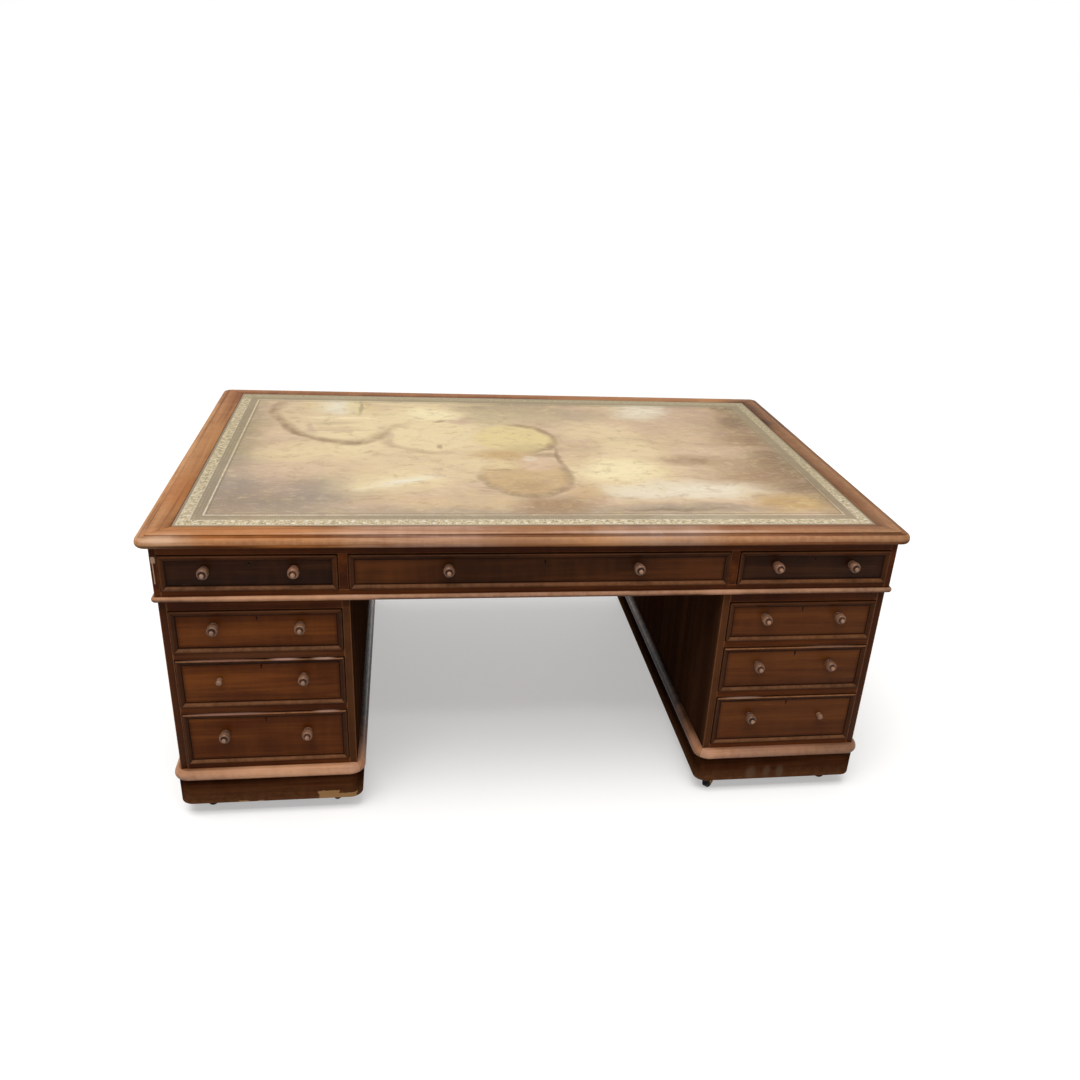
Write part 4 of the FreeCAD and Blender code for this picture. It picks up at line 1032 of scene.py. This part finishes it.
# --- Frieze ---
def make_frieze():
    for name, node in (
            ("frieze_end_boards", "frieze_ends"), ("frieze_rail_boards", "frieze_rails"),
            ("frieze_divider_boards", "frieze_dividers")):
        boards(name, node, "carcass", CASE_WOOD)
    boards("frieze_dustboard_panels", "frieze_dustboards", "carcass", INNER_WOOD)
    inner = -0.0079
    middle = CASE_LOW + 0.0065
    high = CASE_LOW + 0.013
    profile = outline(
        [(inner, CASE_LOW), (-0.005, CASE_LOW), (0, CASE_LOW, 0, middle), (0, high, -0.005, high),
            (inner, high)])

    # Pale along its top half, by use and painted highlight; dark where it meets the case.
    def wear_and_light(out, z, side):
        if out < -0.007:
            return -1.0
        return 0.62 if z > middle - 0.002 else 0.0

    bead = Piece()
    moulded_ring(bead, profile, wear_and_light, BEAD_X, BEAD_Y, BEAD_RADIUS)
    bead.make("frieze_half_round", "carcass", TRIM_WOOD, ["frieze_bead"], swept=True)


# --- Pedestals ---
def make_pedestal(side, sign):
    node = side + "_pedestal_sides"
    for place, wood in (("outer", PANEL_WOOD), ("inner", SHADED_SIDE_WOOD)):
        panel = Piece()
        for solid in solids_of(node):
            across = max(abs(corner[0]) for corner in corners_of(solid))
            if (across > PEDESTAL_X) == (place == "outer"):
                add_board(panel, solid, "z")
        panel.make("%s_pedestal_%s_panel" % (side, place), "carcass", wood, [node])
    node = side + "_pedestal_frame"
    shown = Piece()
    hidden = Piece()
    for solid in solids_of(node):
        near = min(abs(corner[1]) for corner in corners_of(solid))
        add_board(shown if near > 0.58 and size_of(solid)[1] < 0.03 else hidden, solid)
    shown.make(side + "_pedestal_rails", "carcass", CASE_WOOD, [node])
    hidden.make(side + "_pedestal_inner_boards", "carcass", INNER_WOOD, [node])

    ease = 0.0012
    back = -PLINTH_THICKNESS
    board = outline(
        [(back, PLINTH_LOW), (-ease, PLINTH_LOW), (0, PLINTH_LOW, 0, PLINTH_LOW + ease),
            (0, PLINTH_HIGH), (back, PLINTH_HIGH)], 4)

    def board_wear(out, z, side):
        if out > -0.002 and z < PLINTH_LOW + 0.002:
            return 0.9
        return -0.6 if z > PLINTH_HIGH - 0.001 else 0.0

    node = side + "_plinth"
    middle = sign * PEDESTAL_X
    plinth = Piece()
    moulded_ring(plinth, board, board_wear, PLINTH_HALF_X, PLINTH_HALF_Y, PLINTH_RADIUS, middle)
    for solid in solids_of(node):
        if max(size_of(solid)) < 0.08:
            add_board(plinth, solid)
    plinth.make(side + "_plinth_boards", "carcass", PLINTH_WOOD, [node])

    nose = PLINTH_HIGH + 0.009
    inner = 0.0001 - MOULDING_DEPTH
    moulding = outline(
        [(inner, PLINTH_HIGH), (-MOULDING_LIP, PLINTH_HIGH), (0, PLINTH_HIGH, 0, nose),
            (0, MOULDING_HIGH, 0.002 - MOULDING_DEPTH, MOULDING_HIGH), (inner, MOULDING_HIGH)], 10)
    kneehole = 3 if sign > 0 else 1

    # Pale on the front of the nose, painted highlight with some use; darker under the nose,
    # painted shade; dark against the carcass; left plain along the kneehole, which is in shade.
    def moulding_wear_and_light(out, z, side):
        if out < -0.0185:
            return -1.0
        if side == kneehole:
            return 0.0
        if z < nose - 0.003:
            return -0.35
        return 0.75 if out > -0.0045 else (0.5 if out > -0.012 else 0.15)

    thumb = Piece()
    moulded_ring(
        thumb, moulding, moulding_wear_and_light, PLINTH_HALF_X + MOULDING_LIP, PLINTH_HALF_Y + MOULDING_LIP,
        PLINTH_RADIUS + MOULDING_LIP, middle)
    thumb.make(side + "_plinth_thumb_moulding", "carcass", TRIM_WOOD, [node], swept=True)


# --- Drawers ---
# Outlines of (radius, distance out of the drawer's face).
KNOB = [
    (0, -0.014), (0.005, -0.014), (0.005, 0), (0.011, 0), (0.011, 0.002),
    (0.011, 0.004, 0.009, 0.004), (0.0078, 0.0043), (0.007, 0.0055), (0.007, 0.0065),
    (0.007, 0.0095, 0.01, 0.0095), (0.0135, 0.0095, 0.0135, 0.019),
    (0.0135, 0.0285, 0.0095, 0.0285), (0.0078, 0.0282), (0.006, 0.0272), (0.0052, 0.0276),
    (0.0052, 0.034), (0.0052, 0.037, 0, 0.037)]
PEG = [
    (0, -0.014), (0.005, -0.014), (0.005, 0), (0.0071, 0), (0.0075, 0.003), (0.007, 0.008),
    (0.0075, 0.013), (0.0075, 0.015), (0.0075, 0.021, 0, 0.021)]
PEG_DROP = 0.004


# Pale on the button's end and on the head, painted highlights with some use; dark at the foot, the
# neck and the dish, grime and painted shade.
def knob_wear_and_light(radius, out):
    if out > 0.033:
        return 0.85
    if 0.01 < radius and out > 0.012:
        return 0.42
    if out < 0.0005 or (radius < 0.0075 and out < 0.0284):
        return -0.5
    return 0.1


# Pale over its body, painted top light with some use; dark at its foot.
def peg_wear_and_light(radius, out):
    return 0.6 if out > 0.002 else -0.5


def strip_outline():
    """Outline of the planted moulding as (across, out): a quarter round and a long slope."""
    points = outline([(0, 0), (0, 0.001), (0, 0.005, 0.0045, 0.005)], 6)
    start, end = points[-1], (0.0125, 0.001)
    half_way = (start[0] + end[0]) / 2
    poles = [start, (half_way, start[1]), (half_way, end[1]), end]
    for number in range(1, 9):
        t = number / 8
        share = ((1 - t) ** 3, 3 * t * (1 - t) ** 2, 3 * t * t * (1 - t), t ** 3)
        points.append(tuple(sum(share[i] * poles[i][k] for i in range(4)) for k in range(2)))
    return points + [(STRIP, 0.001), (STRIP, 0.0)]


STRIP_OUTLINE = strip_outline()


# Dark at the foot and against the field; the arris and the slope take the given values, use and
# painted highlight.
def strip_wear_and_light(across, out, arris, slope):
    if across < 0.0008 and out < 0.0035:
        return -0.8
    if across > 0.0122:
        return -0.9
    if across < 0.0035 and out > 0.0032:
        return arris
    return slope if across > 0.004 else 0.0


def planted_mouldings(piece, x0, x1, z0, z1, face, facing, top_arris_wear_and_light=0.85):
    """Four mitred strips round a drawer front or a door's panel. The lower strip is pale along
    its slope and the upper one along its arris, by use and painted highlight, the side strips
    less. Dirt sits in the mitres."""
    places = (
        ("x", x1 - x0, 0.25, 0.5, lambda run, across: (x0 + run, z0 + across)),
        ("x", x1 - x0, top_arris_wear_and_light, 0.0, lambda run, across: (x1 - run, z1 - across)),
        ("z", z1 - z0, 0.15, 0.05, lambda run, across: (x0 + across, z1 - run)),
        ("z", z1 - z0, 0.15, 0.05, lambda run, across: (x1 - across, z0 + run)))
    mitre = 0.0012
    for axis, length, arris, slope, spot in places:
        rows = []
        wear_and_light = []
        for far_end, inset in ((False, 0), (False, mitre), (True, mitre), (True, 0)):
            row = []
            for across, out in STRIP_OUTLINE:
                run = across + inset + MITRE_GAP
                x, z = spot(length - run if far_end else run, across)
                row.append((x, facing * (face + out), z))
                wear_and_light.append(strip_wear_and_light(across, out, arris, slope) - (0.0 if inset else 0.7))
            rows.append(row)
        piece.add(*loft(rows), axis, wear_and_light)


def keyhole_outline(grow):
    """Keyhole outline round (0, 0), grown outwards."""
    half = KEY_SLOT / 2 + grow
    radius = KEY_RADIUS + grow
    start = math.asin(half / radius)
    points = []
    for number in range(25):
        turn = -math.pi / 2 + start + (2 * math.pi - 2 * start) * number / 24
        points.append((radius * math.cos(turn), radius * math.sin(turn)))
    foot = -KEY_LENGTH - grow
    return points + [(-half, foot), (half, foot)]


def lock(name, body, x, z, face, facing, top):
    """Brass lock let into the back of the front, and the brass lining of its keyhole."""
    piece = Piece()
    inner = face - FRONT_THICKNESS
    corner = 0.002
    plate = (0.03, top - 0.04, top - 0.0006, 0.0001, 0.0024)
    case = (0.024, top - 0.035, top - 0.006, 0.0022, 0.0105)
    for half_x, low, high, near, far in (plate, case):
        rows = []
        stations = ((near, 0.0), (far - 0.0008, 0.0), (far - 0.0002, 0.0005), (far, 0.0012))
        for depth, shrink in stations:
            row = []
            for sx, sz in ((1, 1), (-1, 1), (-1, -1), (1, -1)):
                wide = half_x - shrink
                height = high - shrink if sz > 0 else low + shrink
                eased = [(sx * wide, height - sz * corner), (sx * (wide - corner), height)]
                row += [(x + px, facing * (inner - depth), pz) for px, pz in eased[::sx * sz]]
            rows.append(row)
        piece.add(*loft(rows), "x")
    outer, lining = keyhole_outline(-0.00005), keyhole_outline(-0.0006)
    near, far = 0.0001, -0.004
    stations = ((lining, near), (outer, near), (outer, far), (lining, far), (lining, near))
    points, faces = loft(
        [[(x + px, facing * (face + depth), z + pz) for px, pz in shape]
            for shape, depth in stations])
    piece.add(points, faces[:-2], "x")
    piece.make(name, body, OLD_BRASS)


def dress_drawer(body, wood, x0, x1, z0, z1, face, facing, offset, rise, key_drop, lost=0):
    """A drawer's front board, mouldings, knobs, lock and lining. lost is the side of the
    knob that a peg stands in for."""
    high = z1 - GAP_HIGH
    middle = (x0 + x1) / 2
    knob_z = (z0 + z1) / 2 + rise
    node = body + "_front"
    front = Piece()
    for solid in solids_of(node):
        size = size_of(solid)
        if size[0] > (x1 - x0) * 0.9 and size[2] > 0.05:
            add_board(front, solid)
    front.make(body + "_front_board", body, wood, [node])
    strips = Piece()
    # The top arris gets a painted highlight on the middle and bottom drawers and little on the
    # frieze and top drawers, whose arris lies in shade.
    planted_mouldings(
        strips, x0 + GAP_SIDE, x1 - GAP_SIDE, z0 + GAP_LOW, high, face, facing,
        0.2 if z1 > DRAWER_ROWS["middle"][1] else 0.95)
    strips.make(body + "_mouldings", body, STRIP_WOOD, [node], swept=True)
    knobs = Piece()
    for sign in (-1, 1):
        steps, drop, wear_and_light = (PEG, PEG_DROP, peg_wear_and_light) if sign == lost else (KNOB, 0, knob_wear_and_light)
        turned(knobs, steps, middle + sign * offset, face, knob_z - drop, facing, wear_and_light)
    knobs.make(body + "_knobs", body, KNOB_WOOD, [node])
    lock(body + "_lock", body, middle, z1 - key_drop, face, facing, high)
    boards(body + "_lining_boards", body + "_lining", body, INNER_WOOD)


def make_drawers():
    bays = (
        ("left", -CASE_INNER_X, -BAY_OUTER_X, SHADED_FRIEZE_WOOD, FRIEZE_END_KNOBS),
        ("centre", -BAY_INNER_X, BAY_INNER_X, SHADED_FRIEZE_CENTRE_WOOD, FRIEZE_CENTRE_KNOBS),
        ("right", BAY_OUTER_X, CASE_INNER_X, SHADED_FRIEZE_WOOD, FRIEZE_END_KNOBS))
    for end, facing in (("front", -1), ("back", 1)):
        for place, x0, x1, wood, offset in bays:
            dress_drawer(
                "%s_%s_frieze_drawer" % (end, place), wood, x0, x1, FRIEZE_DRAWER_LOW,
                FRIEZE_DRAWER_HIGH, CASE_Y, facing, offset, FRIEZE_KNOB_RISE, FRIEZE_KEY_DROP)
    for side, x0, x1 in (("left", -INSIDE_FAR, -INSIDE_NEAR), ("right", INSIDE_NEAR, INSIDE_FAR)):
        for row, (low, high) in DRAWER_ROWS.items():
            dress_drawer(
                "%s_%s_drawer" % (side, row), DRAWER_WOOD, x0, x1, low, high, PEDESTAL_Y, -1,
                DRAWER_KNOBS, DRAWER_KNOB_RISE, DRAWER_KEY_DROP, LOST_KNOBS.get((side, row), 0))


# --- Cupboard doors ---
def make_door(side, sign):
    node = side + "_door"
    stile = 0.048
    low = 0.159
    high = 0.584
    free = INSIDE_NEAR + 0.001
    hung = INSIDE_FAR - 0.0026
    inset = stile - STRIP
    frame_boards = Piece()
    for solid in solids_of(node):
        size = size_of(solid)
        if min(size[0], size[2]) > 0.04 and max(size) > 0.2:
            add_board(frame_boards, solid)
    frame_boards.make(node + "_boards", node, CASE_WOOD, [node])
    strips = Piece()
    x0, x1 = sorted((sign * (free + inset), sign * (hung - inset)))
    planted_mouldings(strips, x0, x1, low + inset, high - inset, PEDESTAL_Y, 1)
    strips.make(node + "_mouldings", node, STRIP_WOOD, [node], swept=True)
    knob = Piece()
    turned(knob, KNOB, sign * (free + 0.021), PEDESTAL_Y, (low + high) / 2, 1, knob_wear_and_light)
    knob.make(node + "_knob", node, KNOB_WOOD, [node])


# --- Metal ---
def make_metal():
    """The castors and hinges keep their CAD shapes and get their materials."""
    for name, node in NODES.items():
        if name.endswith(("_castor_fork", "castor_plates", "_hinges")):
            material = BRASS
        elif name.endswith("_castor_wheel"):
            material = IRON
        else:
            continue
        node.data.materials.clear()
        node.data.materials.append(material)


# --- Floor, light and camera ---
FLOOR_REACH = 60.0
FLOOR_GLOW = 0.4
SKY_STRENGTH = 0.27
SKY_COLOUR = (1.0, 0.99, 0.975, 1)
WHITE = (1, 1, 1, 1)

# What the photograph's perspective was solved to, in pixels, degrees and metres.
PHOTO_SIZE = 1080
PHOTO_MIDDLE = (575.18, 597.8)
FOCAL_LENGTH = 990.88
YAW, PITCH, ROLL = 10.412, 26.21, -3.809
CAMERA_PLACE = (-0.31204, -2.7343, 1.67011)
SENSOR_WIDTH = 36.0


def make_floor():
    """A pale floor that looks a little brighter than it lights the desk."""
    s = Shader("pale_floor")
    s.finish((212, 211, 209), 0.9, 0.0)
    bare = s.surface.outputs[0]
    bright = s.output("AddShader", (bare, s.output("Emission", (WHITE, FLOOR_GLOW))))
    s.put(s.end.inputs["Surface"], s.output("MixShader", (s.seen(), bare, bright)))
    corners = [
        (x * FLOOR_REACH, y * FLOOR_REACH, 0) for x, y in ((-1, -1), (1, -1), (1, 1), (-1, 1))]
    mesh = bpy.data.meshes.new("floor")
    mesh.from_pydata(corners, [], [(0, 1, 2, 3)])
    mesh.materials.append(s.material)
    new_object("floor", mesh)


def make_world():
    """Soft light from all round, and plain white for the camera, mirrors and glass."""
    world = bpy.data.worlds.new("studio")
    bpy.context.scene.world = world
    world.use_nodes = True
    sky = Nodes(world.node_tree)
    soft = sky.output("Background", (SKY_COLOUR, SKY_STRENGTH))
    white = sky.output("Background", (WHITE, 1.0))
    sky.node("OutputWorld", {"Surface": sky.output("MixShader", (sky.seen(), soft, white))})


def add_light(name, kind, place, target, energy, **settings):
    data = bpy.data.lights.new(name, kind)
    data.energy = energy
    for key, value in settings.items():
        setattr(data, key, value)
    lamp = new_object(name, data)
    lamp.location = place
    lamp.rotation_euler = (Vector(target) - Vector(place)).to_track_quat("-Z", "Y").to_euler()


def make_lights():
    """A broad soft light like a lit ceiling, and a long narrow softbox on either side. The
    one in front draws the highlight along the mouldings."""
    add_light("ceiling_light", "SUN", (-0.35, -0.38, 2.0), (0, 0, 0), 2.3, angle=math.radians(45))
    softboxes = (
        ("front_tube", (-0.2, -2.3, 2.9), (0, -0.5, 0.5), 0.22),
        ("back_panel", (0.3, 2.9, 0.48), (0, 0.6, 0.46), 0.5))
    for name, place, target, height in softboxes:
        add_light(name, "AREA", place, target, 26, shape="RECTANGLE", size=3.4, size_y=height)


def make_camera():
    """The camera that took the photograph."""
    yaw, pitch, roll = map(math.radians, (YAW, PITCH, ROLL))
    forward = Vector(
        (math.sin(yaw) * math.cos(pitch), math.cos(yaw) * math.cos(pitch), -math.sin(pitch)))
    right = Vector((math.cos(yaw), -math.sin(yaw), 0))
    down = forward.cross(right)
    across = math.cos(roll) * right + math.sin(roll) * down
    below = -math.sin(roll) * right + math.cos(roll) * down
    data = bpy.data.cameras.new("photograph")
    data.sensor_width = SENSOR_WIDTH
    data.lens = FOCAL_LENGTH / PHOTO_SIZE * SENSOR_WIDTH
    data.shift_x = (PHOTO_SIZE / 2 - PHOTO_MIDDLE[0]) / PHOTO_SIZE
    data.shift_y = (PHOTO_MIDDLE[1] - PHOTO_SIZE / 2) / PHOTO_SIZE
    data.clip_end = 200
    camera = new_object("photograph", data)
    turn = Matrix((across, -below, -forward)).transposed().to_4x4()
    camera.matrix_world = Matrix.Translation(CAMERA_PLACE) @ turn
    bpy.context.scene.camera = camera


make_top()
make_frieze()
for side_name, side_sign in (("left", -1), ("right", 1)):
    make_pedestal(side_name, side_sign)
    make_door(side_name, side_sign)
make_drawers()
make_metal()
make_floor()
make_world()
make_lights()
make_camera()
bpy.context.scene.view_settings.view_transform = "Standard"
